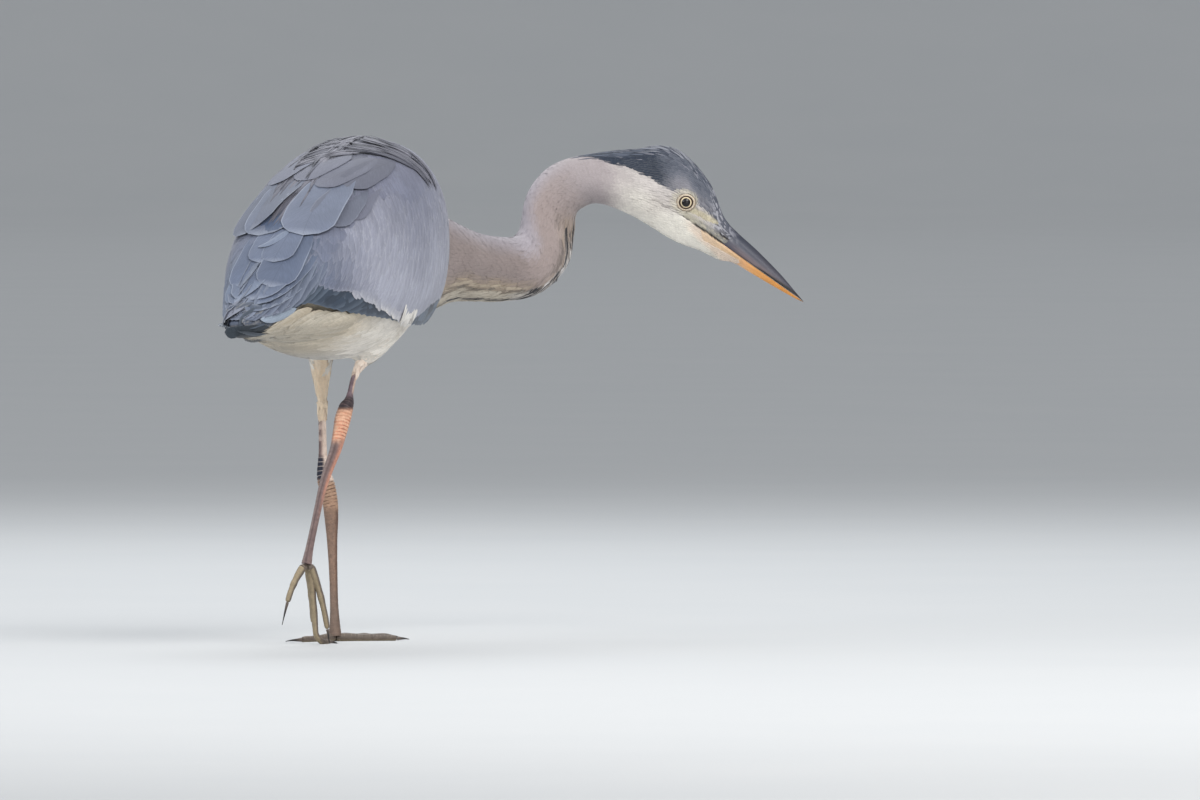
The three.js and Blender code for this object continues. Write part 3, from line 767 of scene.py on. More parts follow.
SEC = {
    4: [(-1, 0), (0, 1), (1, 0), (0, -1)],
    8: [(-1, 0), (-0.55, 0.75), (0, 1), (0.55, 0.75), (1, 0), (0.5, -0.7), (0, -1), (-0.5, -0.7)],
    12: [(-1, 0), (-0.78, 0.5), (-0.42, 0.8), (0, 1), (0.42, 0.8), (0.78, 0.5), (1, 0), (0.7, -0.5), (0.35, -0.8), (0, -1), (-0.35, -0.8), (-0.7, -0.5)],
}
SEC[14] = [(-1, 0), (-0.94, 0.3), (-0.7, 0.6), (-0.35, 0.85), (0, 1), (0.35, 0.85), (0.7, 0.6), (0.94, 0.3), (1, 0), (0.7, -0.55), (0.35, -0.8), (0, -1), (-0.35, -0.8), (-0.7, -0.55)]
SHAPES = {
    # share of the full half width at each part of the length: root to tip
    "soft": ([0, 0.12, 0.4, 0.7, 0.88, 1], [0.25, 0.62, 1, 0.95, 0.62, 0.12]),
    "round": ([0, 0.15, 0.45, 0.75, 0.90, 0.97, 1], [0.25, 0.6, 0.95, 1, 0.84, 0.52, 0.2]),
    "lance": ([0, 0.15, 0.4, 0.65, 0.85, 1], [0.35, 0.85, 1, 0.8, 0.45, 0.03]),
    "broad": ([0, 0.12, 0.35, 0.7, 0.88, 0.96, 1], [0.18, 0.5, 0.85, 1, 0.86, 0.55, 0.2]),
    "blade": ([0, 0.12, 0.35, 0.7, 0.84, 0.92, 0.97, 1], [0.2, 0.5, 0.85, 1, 0.95, 0.78, 0.5, 0.2]),
    "hair": ([0, 0.2, 0.5, 1], [0.6, 1, 0.8, 0.05]),
}
coat_pieces = []
paint_points, paint_colours = [], []


class Coat:
    """Gathers the feathers of one piece of the coat."""

    def __init__(self, name, slot, material):
        self.name, self.slot, self.material = name, slot, material
        self.V, self.Q, self.T, self.C, self.U, self.W, self.n = [], [], [], [], [], [], 0

    def add(self, C, Tn, N, L, width, ts, root_uv, base, tip=None, shape="soft", sec=4, thick=0.25, lift=(0.4, 3.0),
            lift_pow=1.0, camber=0.12, tilt=None, edge=None, edge_at=0.75, root_dark=0.72, rough=0.0, vary=0.06,
            tip_at=0.55, dip=0.0, paint_skin=True, wave=0.0):
        """C, Tn, N: (K, n, 3) from lay(); L, width (full) in metres; thick and lift in mm."""
        K, n = C.shape[:2]
        ts = np.asarray(ts, float)
        S = unit(np.cross(N, Tn))
        if tilt is not None:
            S = unit(S + N * tilt[:, None, None])
        l0, l1 = np.broadcast_to(lift[0], (K,)), np.broadcast_to(lift[1], (K,))
        lf = (l0[:, None] + (l1 - l0)[:, None] * ts[None] ** lift_pow - dip * smooth(0.72, 1.0, ts)[None] ** 1.5) * 0.001
        Cc = C + N * lf[..., None]
        hw = np.interp(ts, *SHAPES[shape])[None] * (width * 0.5)[:, None]
        sx, sh = np.array(SEC[sec], float).T
        ring = slice(1, n - 1)
        x = np.broadcast_to(sx, (K, n - 2, len(sx))).copy()
        if rough:
            jag = 1 + rough * (rng.random((K, n - 2, 2)) * 2 - 1.2) * smooth(0.35, 0.75, ts[ring])[None, :, None]
            x = np.where(x < 0, x * jag[..., :1], x * jag[..., 1:])
        h = sh * (thick * 0.0005)
        Vx = (
            Cc[:, ring, None]
            + S[:, ring, None] * (x * hw[:, ring, None])[..., None]
            + N[:, ring, None] * (h[None, None] - camber * x**2 * hw[:, ring, None] + wave * np.sin(ts[ring] * 9)[None, :, None] * x * hw[:, ring, None])[..., None]
        )
        c = len(sx)
        verts = np.concatenate([Cc[:, :1], Vx.reshape(K, -1, 3), Cc[:, -1:]], 1)
        m = verts.shape[1]
        # colours
        base = np.broadcast_to(base, (K, 3))
        tip = base * 1.08 if tip is None else np.broadcast_to(tip, (K, 3))
        shade = 1 + vary * (rng.random((K, 1)) * 2 - 1)
        tv = np.concatenate([[0], np.repeat(ts[ring], c), [1]])
        xv = np.concatenate([[0], np.tile(sx, n - 2), [0]])
        col = base[:, None] + (tip - base)[:, None] * smooth(tip_at, 1.0, tv)[None, :, None]
        if edge is not None:
            e = smooth(edge_at, 1.0, np.abs(xv)) * smooth(0.15, 0.5, tv)
            e = np.maximum(e, smooth(0.93, 1.0, tv))
            col = col + (np.broadcast_to(edge, (K, 3))[:, None] - col) * e[None, :, None]
        # painted shade: each feather is darker towards its root, where the feathers laid over it shade it; root_dark
        # is the share of the colour kept at the root
        col = col * (root_dark + (1 - root_dark) * smooth(0.1, 0.62, tv))[None, :, None] * shade[..., None]
        # patch of the bake's map at the root, and the feather's own map in tenths of a metre
        xu = np.concatenate([[0.5], np.tile(sx * 0.5 + 0.5, n - 2), [0.5]])
        U = root_uv[:, None] + 0.003 * (np.stack([xu, tv], -1)[None] - 0.5)
        xm = np.concatenate([np.zeros((K, 1)), (sx[None, None] * hw[:, ring, None]).reshape(K, -1), np.zeros((K, 1))], 1)
        W = np.stack([0.5 + xm * 10, tv[None] * L[:, None] * 10], -1)
        # faces
        r = 1 + np.arange(n - 3)[:, None] * c
        j = np.arange(c)[None]
        k = (j + 1) % c
        quads = np.stack([r + j, r + k, r + c + k, r + c + j], -1).reshape(-1, 4)
        j, k = np.arange(c), (np.arange(c) + 1) % c
        tris = np.concatenate([
            np.stack([1 + k, 1 + j, np.zeros(c, int)], -1),
            np.stack([1 + (n - 3) * c + j, 1 + (n - 3) * c + k, np.full(c, m - 1)], -1),
        ])
        vol = signed_volume(verts[0], quads, tris)
        if vol < 0:
            quads, tris = quads[:, ::-1], tris[:, ::-1]
        o = self.n + np.arange(K)[:, None, None] * m
        self.Q.append((quads[None] + o).reshape(-1, 4))
        self.T.append((tris[None] + o).reshape(-1, 3))
        self.V.append(verts.reshape(-1, 3))
        self.C.append(col.reshape(-1, 3))
        self.U.append(U.reshape(-1, 2))
        self.W.append(W.reshape(-1, 2))
        self.n += K * m
        if paint_skin:
            paint_points.append(C[:, 0])
            paint_colours.append(base)
        return self

    def build(self):
        V, Q, T = np.concatenate(self.V), np.concatenate(self.Q), np.concatenate(self.T)
        U = np.concatenate(self.U)
        lo, hi = U.min(0), U.max(0)
        U = 0.02 + 0.96 * (U - lo) / (hi - lo) if (hi - lo).min() > 0.05 else U
        me = mesh_from(self.name, V, Q, T, {"OFBake": U, "Vane": np.concatenate(self.W)}, np.concatenate(self.C))
        me.set_sharp_from_angle(angle=math.radians(62))
        ob = object_from(me, self.material)
        coat_pieces.append((ob, self.slot, len(Q) * 2 + len(T)))
        return ob


def rand(K, a, b):
    return a + (b - a) * rng.random(K)


# ---- seeds ------------------------------------------------------------------------------
def scatter_loft(point, t0, t1, spacing, stretch=1.0, jitter=0.18, fine=160):
    """Rows of seeds around a lofted form. spacing(t) in metres across; rows lie stretch
    times as far apart along. Returns t, th."""
    tt = np.linspace(t0, t1, 400)
    mid = point(tt, np.full_like(tt, math.pi / 2)) * 0.5 + point(tt, np.full_like(tt, -math.pi / 2)) * 0.5
    step = np.linalg.norm(np.diff(mid, axis=0), axis=1)
    sp = spacing(tt) * stretch * 0.87
    count = np.concatenate([[0], np.cumsum(step / ((sp[1:] + sp[:-1]) / 2))])
    rows_at = np.interp(np.arange(0, count[-1]), count, tt)
    th = np.linspace(0, TAU, fine + 1)
    T, H = [], []
    for i, t in enumerate(rows_at):
        ring = point(np.full(fine + 1, t), th)
        arc = np.concatenate([[0], np.cumsum(np.linalg.norm(np.diff(ring, axis=0), axis=1))])
        n = max(6, int(round(arc[-1] / float(spacing(t)))))
        pos = (np.arange(n) + 0.5 * (i % 2) + (rng.random(n) - 0.5) * 2 * jitter + 0.25) / n % 1 * arc[-1]
        H.append(np.interp(pos, arc, th))
        T.append(t + (rng.random(n) - 0.5) * jitter * 2 * (rows_at[1] - rows_at[0]))
    return np.clip(np.concatenate(T), t0, t1), np.concatenate(H)


A_GRID = np.linspace(0, math.pi, 241)
S_GRID = np.arange(0, 446, 2.0)
_p = outline(S_GRID[:, None], A_GRID[None])
_arc = np.concatenate([np.zeros((len(S_GRID), 1)), np.cumsum(np.linalg.norm(np.diff(_p, axis=1), axis=-1), 1)], 1) * 1000


def angle_of(s, arc):
    """The angle from the ridge at an arc length (mm) down the outline."""
    i = np.clip(np.round(np.asarray(s) / 2).astype(int), 0, len(S_GRID) - 1)
    return np.array([np.interp(a, _arc[k], A_GRID) for k, a in zip(np.atleast_1d(i), np.atleast_1d(arc))])


def arc_of(s, a):
    i = np.clip(np.round(np.asarray(s) / 2).astype(int), 0, len(S_GRID) - 1)
    return np.array([np.interp(b, A_GRID, _arc[k]) for k, b in zip(np.atleast_1d(i), np.atleast_1d(a))])


def angle_at_height(s, z):
    mid = (bodyTop(s) + bodyBottom(s)) / 2
    high = (bodyTop(s) - bodyBottom(s)) / 2
    return np.arccos(power(np.clip((z - mid) / high, -0.995, 0.995), SQUARE / 2))


def body_frame(s, a, side, fn=outline):
    """Place, forward tangent and downward tangent on the body, side +1 the bird's right."""
    s, a = np.broadcast_arrays(np.asarray(s, float), np.asarray(a, float))
    p = fn(s, side * a)
    f = unit(fn(s + 1.5, side * a) - fn(s - 1.5, side * a))
    g = unit(fn(s, side * (a + 0.02)) - fn(s, side * (a - 0.02)))
    g = unit(g - f * (f * g).sum(-1, keepdims=True))
    return p, f, g


downMid = curve([[0, 14], [60, 24], [100, 32], [150, 42], [200, 52], [250, 62], [300, 70], [350, 77], [395, 82]])


def lie(s, a, side, extra=0.0, fn=outline):
    """The way the feathers lie on wings and back: back along the ridge, down at the sides."""
    p, f, g = body_frame(s, a, side, fn)
    foot = wingFoot(s)
    w = 0.12 + 0.88 * smooth(0.02, 0.5, a / foot)
    phi = (downMid(s) * w + extra) * DEG
    return p, unit(-f * np.cos(phi)[..., None] + g * np.sin(phi)[..., None])


# ---- materials --------------------------------------------------------------------------
def nodes_of(name):
    mat = bpy.data.materials.new(name)
    mat.use_nodes = True
    nt = mat.node_tree
    nt.nodes.clear()
    out = nt.nodes.new("ShaderNodeOutputMaterial")
    bsdf = nt.nodes.new("ShaderNodeBsdfPrincipled")
    nt.links.new(bsdf.outputs[0], out.inputs[0])
    return mat, nt, bsdf


def math_node(nt, op, a, b=None, c=None):
    n = nt.nodes.new("ShaderNodeMath")
    n.operation = op
    for i, v in enumerate((a, b, c)):
        if v is None:
            continue
        if isinstance(v, (int, float)):
            n.inputs[i].default_value = v
        else:
            nt.links.new(v, n.inputs[i])
    return n.outputs[0]


def ramp_node(nt, value, lo, hi, a, b):
    n = nt.nodes.new("ShaderNodeMapRange")
    n.interpolation_type = "SMOOTHSTEP"
    nt.links.new(value, n.inputs[0])
    for i, v in enumerate((lo, hi, a, b)):
        n.inputs[i + 1].default_value = v
    return n.outputs[0]


def noise_node(nt, vector, scale, detail=2.0, rough=0.5):
    n = nt.nodes.new("ShaderNodeTexNoise")
    n.inputs["Scale"].default_value = scale
    n.inputs["Detail"].default_value = detail
    n.inputs["Roughness"].default_value = rough
    if vector is not None:
        nt.links.new(vector, n.inputs["Vector"])
    return n.outputs[0]


def scaled(nt, colour, factor):
    n = nt.nodes.new("ShaderNodeVectorMath")
    n.operation = "SCALE"
    nt.links.new(colour, n.inputs[0])
    nt.links.new(factor, n.inputs["Scale"])
    return n.outputs[0]


def colour_node(nt, name="Col"):
    n = nt.nodes.new("ShaderNodeAttribute")
    n.attribute_name = name
    return n.outputs["Color"]


def object_coords(nt):
    return nt.nodes.new("ShaderNodeTexCoord").outputs["Object"]


def vane_material(name, rough=0.72, sheen=0.12, barb=0.9, contrast=0.16, bump=0.35, shaft=0.85, specular=0.3):
    """A feather: the vertex colours, broken by barbs that run out from the shaft."""
    mat, nt, bsdf = nodes_of(name)
    uv = nt.nodes.new("ShaderNodeUVMap")
    uv.uv_map = "Vane"
    sep = nt.nodes.new("ShaderNodeSeparateXYZ")
    nt.links.new(uv.outputs[0], sep.inputs[0])
    x = math_node(nt, "MULTIPLY", math_node(nt, "ABSOLUTE", math_node(nt, "SUBTRACT", sep.outputs[0], 0.5)), 100.0)
    y = math_node(nt, "MULTIPLY", sep.outputs[1], 100.0)
    along = math_node(nt, "SUBTRACT", y, math_node(nt, "MULTIPLY", x, 1.5))
    vec = nt.nodes.new("ShaderNodeCombineXYZ")
    nt.links.new(math_node(nt, "MULTIPLY", along, barb), vec.inputs[0])
    nt.links.new(math_node(nt, "MULTIPLY", x, 0.16), vec.inputs[1])
    fine = noise_node(nt, vec.outputs[0], 1.0, 3.0, 0.6)
    wide = noise_node(nt, object_coords(nt), 38.0, 2.0, 0.5)
    k = ramp_node(nt, fine, 0.3, 0.7, 1 - contrast, 1 + contrast * 0.6)
    k = math_node(nt, "MULTIPLY", k, ramp_node(nt, wide, 0.3, 0.7, 0.95, 1.05))
    k = math_node(nt, "MULTIPLY", k, ramp_node(nt, x, 0.15, 0.45, shaft, 1.0))
    nt.links.new(scaled(nt, colour_node(nt), k), bsdf.inputs["Base Color"])
    bsdf.inputs["Roughness"].default_value = rough
    bsdf.inputs["Specular IOR Level"].default_value = specular
    bsdf.inputs["Sheen Weight"].default_value = sheen
    bsdf.inputs["Sheen Roughness"].default_value = 0.5
    b = nt.nodes.new("ShaderNodeBump")
    b.inputs["Strength"].default_value = bump
    b.inputs["Distance"].default_value = 0.0004
    nt.links.new(fine, b.inputs["Height"])
    nt.links.new(b.outputs[0], bsdf.inputs["Normal"])
    return mat


FINE = vane_material("plumage_fine", rough=0.85, barb=1.6, contrast=0.12, bump=0.25, shaft=0.97, sheen=0.15)
WING = vane_material("plumage_wing", rough=0.68, barb=0.85, contrast=0.13, bump=0.4, shaft=0.82)
FLIGHT = vane_material("flight_feathers", rough=0.55, barb=0.8, contrast=0.13, bump=0.4, shaft=0.6, specular=0.4)
DOWN = vane_material("plumage_soft", rough=0.9, barb=0.7, contrast=0.16, bump=0.35, shaft=0.94, sheen=0.15)


def skin_material():
    mat, nt, bsdf = nodes_of("skin_and_scales")
    obj = object_coords(nt)
    cells = nt.nodes.new("ShaderNodeTexVoronoi")
    cells.inputs["Scale"].default_value = 900.0
    nt.links.new(obj, cells.inputs["Vector"])
    n = noise_node(nt, obj, 260.0, 4.0, 0.6)
    k = math_node(nt, "MULTIPLY", ramp_node(nt, n, 0.25, 0.75, 0.86, 1.12), ramp_node(nt, cells.outputs[0], 0.0, 0.7, 1.05, 0.88))
    nt.links.new(scaled(nt, colour_node(nt), k), bsdf.inputs["Base Color"])
    bsdf.inputs["Roughness"].default_value = 0.55
    bsdf.inputs["Specular IOR Level"].default_value = 0.35
    b = nt.nodes.new("ShaderNodeBump")
    b.inputs["Strength"].default_value = 0.35
    b.inputs["Distance"].default_value = 0.0003
    nt.links.new(math_node(nt, "ADD", n, math_node(nt, "MULTIPLY", cells.outputs[0], -0.8)), b.inputs["Height"])
    nt.links.new(b.outputs[0], bsdf.inputs["Normal"])
    return mat


def horn_material(name, rough, streak=0.10, bump=0.15, coat=0.0):
    """Horn: vertex colours with fine grain along the piece."""
    mat, nt, bsdf = nodes_of(name)
    uv = nt.nodes.new("ShaderNodeUVMap")
    uv.uv_map = "Vane"
    sep = nt.nodes.new("ShaderNodeSeparateXYZ")
    nt.links.new(uv.outputs[0], sep.inputs[0])
    vec = nt.nodes.new("ShaderNodeCombineXYZ")
    nt.links.new(math_node(nt, "MULTIPLY", sep.outputs[0], 60.0), vec.inputs[0])
    nt.links.new(math_node(nt, "MULTIPLY", sep.outputs[1], 4.0), vec.inputs[1])
    grain = noise_node(nt, vec.outputs[0], 1.0, 4.0, 0.6)
    blot = noise_node(nt, object_coords(nt), 120.0, 3.0, 0.6)
    k = math_node(nt, "MULTIPLY", ramp_node(nt, grain, 0.25, 0.75, 1 - streak, 1 + streak), ramp_node(nt, blot, 0.3, 0.7, 0.95, 1.05))
    nt.links.new(scaled(nt, colour_node(nt), k), bsdf.inputs["Base Color"])
    bsdf.inputs["Roughness"].default_value = rough
    bsdf.inputs["Specular IOR Level"].default_value = 0.5
    bsdf.inputs["Coat Weight"].default_value = coat
    bsdf.inputs["Coat Roughness"].default_value = 0.2
    b = nt.nodes.new("ShaderNodeBump")
    b.inputs["Strength"].default_value = bump
    b.inputs["Distance"].default_value = 0.0003
    nt.links.new(grain, b.inputs["Height"])
    nt.links.new(b.outputs[0], bsdf.inputs["Normal"])
    return mat


def eye_material():
    mat, nt, bsdf = nodes_of("eye_wet")
    n = noise_node(nt, object_coords(nt), 900.0, 3.0, 0.6)
    nt.links.new(scaled(nt, colour_node(nt), ramp_node(nt, n, 0.3, 0.7, 0.9, 1.08)), bsdf.inputs["Base Color"])
    bsdf.inputs["Roughness"].default_value = 0.25
    bsdf.inputs["Specular IOR Level"].default_value = 0.3
    bsdf.inputs["Coat Weight"].default_value = 0.35
    bsdf.inputs["Coat Roughness"].default_value = 0.03
    return mat


SKIN, EYE = skin_material(), eye_material()
HORN_DARK = horn_material("bill_horn_dark", 0.38, 0.12, 0.2)
HORN_YELLOW = horn_material("bill_horn_yellow", 0.42, 0.05, 0.12)
CLAW = horn_material("claw_horn", 0.4, 0.12, 0.2)

# ---- colours of the plumage ---------------------------------------------------------------
SLATE_CROWN, GREY_CROWN = lin(36, 45, 60), lin(97, 100, 111)
WHITE_CHEEK, WHITE_THROAT, BUFF_LORES = lin(196, 189, 185), lin(234, 229, 218), lin(204, 193, 168)
MAUVE_TOP_HIGHLIGHT, MAUVE, MAUVE_LOW = lin(142, 135, 141), lin(135, 123, 120), lin(127, 115, 109)
INK, STREAK_WHITE, STREAK_BUFF = lin(46, 48, 54), lin(214, 208, 198), lin(176, 152, 124)
CREAM, CREAM_WARM, CREAM_COOL = lin(204, 194, 176), lin(208, 188, 158), lin(196, 194, 190)
COVERT, COVERT_BLUE, COVERT_PALE, COVERT_EDGE = lin(98, 100, 116), lin(98, 106, 126), lin(158, 160, 174), lin(176, 177, 187)
SCAP, SCAP_DARK, TERTIAL = lin(128, 136, 154), lin(92, 98, 113), lin(118, 126, 144)
FLIGHT_SLATE, FLIGHT_DARK, TAIL_DARK = lin(66, 77, 92), lin(48, 57, 69), lin(56, 64, 76)
LEG_TAN, LEG_MAUVE, LEG_PEACH, LEG_DARK, LEG_NAVY = lin(160, 134, 112), lin(134, 112, 108), lin(210, 160, 130), lin(84, 62, 60), lin(34, 36, 52)

CROWN_LINE = ([340, 355, 369, 384, 404, 420, 433, 441, 447, 452, 458, 462, 473, 483, 492, 500],
              [485.5, 483, 480, 475, 467.5, 459.4, 450.3, 444.5, 445.5, 445.5, 441, 432, 424, 415.5, 402, 390])


def head_colour(u, d, z, wob):
    """Plumage of the head at (u, d, z); wob is noise in 0..1 that frays the borders."""
    far = np.abs(d - EYE_D)
    line = np.interp(u, *CROWN_LINE)
    slope = np.interp(u, [340, 369, 400, 420, 440, 460, 500], [0.35, 0.4, 0.5, 0.62, 0.75, 0.75, 0.75])
    h = (z - line) * slope / 0.75 + (wob - 0.5) * 3.0
    crown = smooth(-1.0, 1.2, h)
    # the hind crown's slate, made paler towards the crown's top as painted highlight
    dark = smooth(448, 428, u + (wob - 0.5) * 8) * (1 - 0.35 * smooth(22, 34, h))
    streak = 0.5 + 0.5 * np.sin((h * 1.1 + far * 0.35) + 4 * wob)
    grey = mix(GREY_CROWN, lin(127, 126, 133), smooth(17, 4, h) * smooth(424, 438, u))
    grey = mix(grey, lin(66, 73, 87), (0.3 + 0.5 * streak) * smooth(10, 22, h))
    grey = mix(grey, lin(74, 79, 93), 0.65 * smooth(456, 478, u) * streak)
    top = mix(grey, SLATE_CROWN, dark)
    cheek = mix(WHITE_CHEEK, WHITE_THROAT, smooth(0.0, 26.0, line - z - 8))
    cheek = mix(cheek, lin(158, 149, 150), smooth(416, 374, u + (wob - 0.5) * 10))
    # pinkish shade behind and under the eye, a thin dark crease behind it
    cheek = mix(cheek, lin(196, 186, 180), 0.5 * gauss(u - 424, 16) * gauss(z - 428, 12))
    crease = np.interp(u, [424, 431, 436, 442, 447], [436.5, 432.0, 428.5, 427.0, 427.4])
    cheek = mix(cheek, lin(120, 112, 108), 0.75 * gauss(z - crease, 0.9) * smooth(423, 426, u) * smooth(447, 444, u))
    out = mix(cheek, top, crown)
    # mottled slate at the base of the upper mandible
    base = smooth(474, 484, u) * smooth(-0.5, 2.5, z - gapeLine(u))
    out = mix(out, mix(lin(66, 70, 84), lin(158, 158, 166), smooth(0.46, 0.66, noise(np.stack([u * 0.55, z * 0.9, d * 0.5], -1), 1.0, 19))), base * 0.85)
    over = z - gapeLine(u)
    wedge = smooth(447, 456, u) * smooth(-0.4, 0.6, over) * smooth(9.5, 5.5, over)
    out = mix(out, mix(lin(176, 169, 149), lin(132, 129, 124), smooth(456, 474, u) * smooth(0.3, 0.6, wob)), wedge * 0.85)
    wedge = smooth(452, 472, u) * smooth(-0.4, 0.6, over) * smooth(1.3 + 1.3 * smooth(455, 475, u), 0.7 + 0.5 * smooth(455, 475, u), over)
    out = mix(out, mix(lin(30, 28, 30), lin(70, 68, 72), smooth(0.55, 0.8, wob)), wedge * 0.95)
    # the nostril's slit
    slit = np.abs((z - 398.8) + 0.55 * (u - 491.4)) / 1.14
    out = mix(out, lin(30, 24, 26), smooth(1.1, 0.4, slit) * smooth(6.0, 4.4, np.abs(u - 491.4)))
    out = mix(out, lin(240, 214, 190), 0.65 * smooth(450, 468, u) * smooth(0.5, -1.0, over) * smooth(-17, -9, over + 0.25 * (u - 470)))
    # buff lores and the ring of small feathers round the eye
    rho = np.hypot((u - EYE_U) / 1.04, z - EYE_Z)
    out = mix(out, lin(206, 198, 176), gauss(rho - 10.0, 1.8) * 0.6)
    lore = mix(lin(176, 168, 142), BUFF_LORES, smooth(455, 468, u) * smooth(482, 474, u))
    out = mix(out, lore, bare_lores(u, z) * smooth(7, 11, far) * (0.55 + 0.45 * smooth(0.3, 0.6, wob)))
    return out


def neck_colour(t, th, wob, wob2):
    """Plumage of the neck: mauve-grey, paler along the top as painted highlight, cream and ink streaks down the
    front.
    """
    v = (th / math.pi) % 2
    low = np.abs(((th - math.pi + math.pi) % TAU) - math.pi)  # turn away from the throat
    # painted highlight: the top of the neck paler, where the light falls along it
    base = mix(MAUVE, MAUVE_TOP_HIGHLIGHT, smooth(0.3, 1.0, np.cos(th)))
    base = mix(base, MAUVE_LOW, smooth(0.35, 0.95, -np.cos(th)) * (1 - smooth(9, 11, t)))
    upper = smooth(9.0, 12.5, t)
    base = base * (1 + 0.30 * smooth(4.2, 6.4, t) * (1 - 0.5 * smooth(0.1, 0.8, np.cos(th)) * smooth(8.5, 7.0, t)))[..., None]
    base = mix(base, lin(156, 147, 148), 0.8 * upper)
    # painted highlight: a whitish lilac patch on the top of the neck at its bend
    base = mix(base, lin(176, 172, 180), gauss(t - 7.5, 3.0) * 0.3 * smooth(0.2, 0.95, np.cos(th)))
    lane = (th % TAU) - math.pi
    return foreneck(t, lane, base)


def foreneck(t, lane, base):
    """The streaked front of the neck: cream and white lanes parted by broken black lines."""
    x = np.abs(lane) + 0.045 * np.sin(t * 4.1 + 1.3) * np.sign(lane)
    n = noise(np.stack([t * 0.8, lane * 1.6, t * 0.0], -1), 1.0, 41)
    m = noise(np.stack([t * 1.9, lane * 4.0, t * 0.0], -1), 1.0, 42)
    end = 1 - smooth(8.6, 9.6, t)
    bend = smooth(4.4, 5.8, t)
    low = 1 - bend
    beige = mix(lin(170, 152, 130), lin(156, 140, 124), m)
    out = mix(base, beige, smooth(1.4, 0.9, x) * end * (0.85 - 0.55 * bend))
    out = mix(out, lin(186, 172, 152), gauss(x - 0.99, 0.05) * low * 0.7)
    cream = mix(lin(190, 180, 164), lin(220, 216, 214), bend)
    out = mix(out, cream, smooth(0.88 + 0.1 * bend, 0.74 + 0.1 * bend, x) * (1 - smooth(7.4, 8.8, t)) * (1 - bend * smooth(0.25, 0.5, x) * smooth(0.45, 0.6, m) * 0.6))
    out = mix(out, lin(104, 97, 88), gauss(x - 0.87, 0.05) * low * smooth(0.3, 0.45, n) * 0.85)
    out = mix(out, lin(122, 112, 108), smooth(0.98, 1.04, x) * smooth(1.35, 1.15, x) * bend * end * smooth(0.45, 0.6, m) * 0.8)
    ink = gauss(x - 0.38, 0.055) * low * smooth(0.25, 0.4, n) + bend * gauss(x - 0.24, 0.09) * smooth(0.2, 0.35, n)
    ink = ink + bend * gauss(x - 0.78, 0.085) * smooth(0.25, 0.42, m) + bend * gauss(x - 0.52, 0.045) * smooth(0.5, 0.6, m)
    out = mix(out, lin(34, 34, 40), np.clip(ink * 1.4 * end, 0, 1))
    return out


# ---- the coat -------------------------------------------------------------------------------
def where(p):
    """The place on the closed outline, s and the signed angle, nearest to a point."""
    s, r, z = unbird(p)
    s = np.clip(s, 1, 444)
    mid = (bodyTop(s) + bodyBottom(s)) / 2
    high = (bodyTop(s) - bodyBottom(s)) / 2
    return s, np.arctan2(power((r - bodyTurn(s)) / bodyWidth(s), SQUARE / 2), power((z - mid) / high, SQUARE / 2))


def body_flow(p):
    s, a = where(p)
    return lie(s, np.abs(a), np.where(a < 0, -1, 1))[1]


def from_tip(bvh, tip, D, L, ts, flow=None, steer=0.0, bend=0.45):
    """Lays each centreline from its tip back to its root; returns it root first."""
    back = 1 - np.asarray(ts)[::-1]
    C, T, N = lay(bvh, tip, -D, L, back, None if flow is None else (lambda p: -flow(p)), steer, bend)
    return C[:, ::-1], -T[:, ::-1], N[:, ::-1]


def body_uv(p):
    s, a = where(p)
    return np.stack([s / 445, 0.5 + a / TAU], -1)


def ring_of(fn, n=150, m=120, s0=2, s1=443):
    s = np.linspace(s0, s1, n)
    return grid_loft(lambda i, j: fn(s[i.astype(int)], (j / m * 2 - 1) * math.pi), n, m)


hull = bvh_of(ring_of(outline))
hide = bvh_of(body_part)
T5 = np.array([0, 0.2, 0.45, 0.7, 0.9, 1.0])
T6 = np.array([0, 0.18, 0.38, 0.58, 0.76, 0.9, 1.0])
T8 = np.array([0, 0.12, 0.26, 0.42, 0.58, 0.72, 0.84, 0.93, 1.0])
T12 = np.array([0, 0.08, 0.17, 0.27, 0.37, 0.47, 0.57, 0.67, 0.76, 0.84, 0.91, 0.965, 1.0])
T10 = np.array([0, 0.1, 0.2, 0.32, 0.44, 0.56, 0.68, 0.78, 0.87, 0.94, 1.0])

# the line along which the greater coverts end, as an arc down from the ridge
TIP_LINE = ([40, 62, 85, 94, 112, 132, 163, 194, 245, 265, 285, 304, 330, 360, 380], [14, 28, 43, 52, 79, 103, 136, 170, 216, 231, 233, 228, 222, 212, 198])


def wing_colour(p, low, s, arc):
    """Grey of the coverts: bluer behind, paler and warmer in front and below."""
    n1, n2 = noise(p, 18, 1), noise(p, 55, 2)
    c = mix(COVERT, COVERT_BLUE, smooth(190, 90, s) * 0.9)
    c = mix(c, COVERT_PALE, low * smooth(100, 200, s) * 0.95)
    c = mix(c, lin(136, 137, 149), smooth(290, 370, s) * 0.7)
    c = mix(c, lin(112, 116, 134), (n1 - 0.35).clip(0, 1) * 1.1 * (1 - low))
    return c * (0.94 + 0.12 * n2[..., None])


def seen(u, z):
    """Points of the outline at (u, z), on the side that is turned to the right and behind."""
    out = []
    for a, b in zip(u, z):
        x, y = a, b
        for _ in range(60):
            hit = hull.ray_cast(Vector(swung(x, -400.0, y).tolist()), Vector(E_D.tolist()))[0]
            if hit is not None:
                break
            x, y = x + (150 - x) * 0.01, y + (400 - y) * 0.01
        d = unswung(np.array(hit))[1]
        out.append(np.array(hull.find_nearest(Vector(swung(a, d, b).tolist()))[0]))
    return np.array(out)


def across(p):
    """The same place on the other side of the body."""
    s, r, z = unbird(p)
    return bird(s, 2 * bodyTurn(s) - r, z)


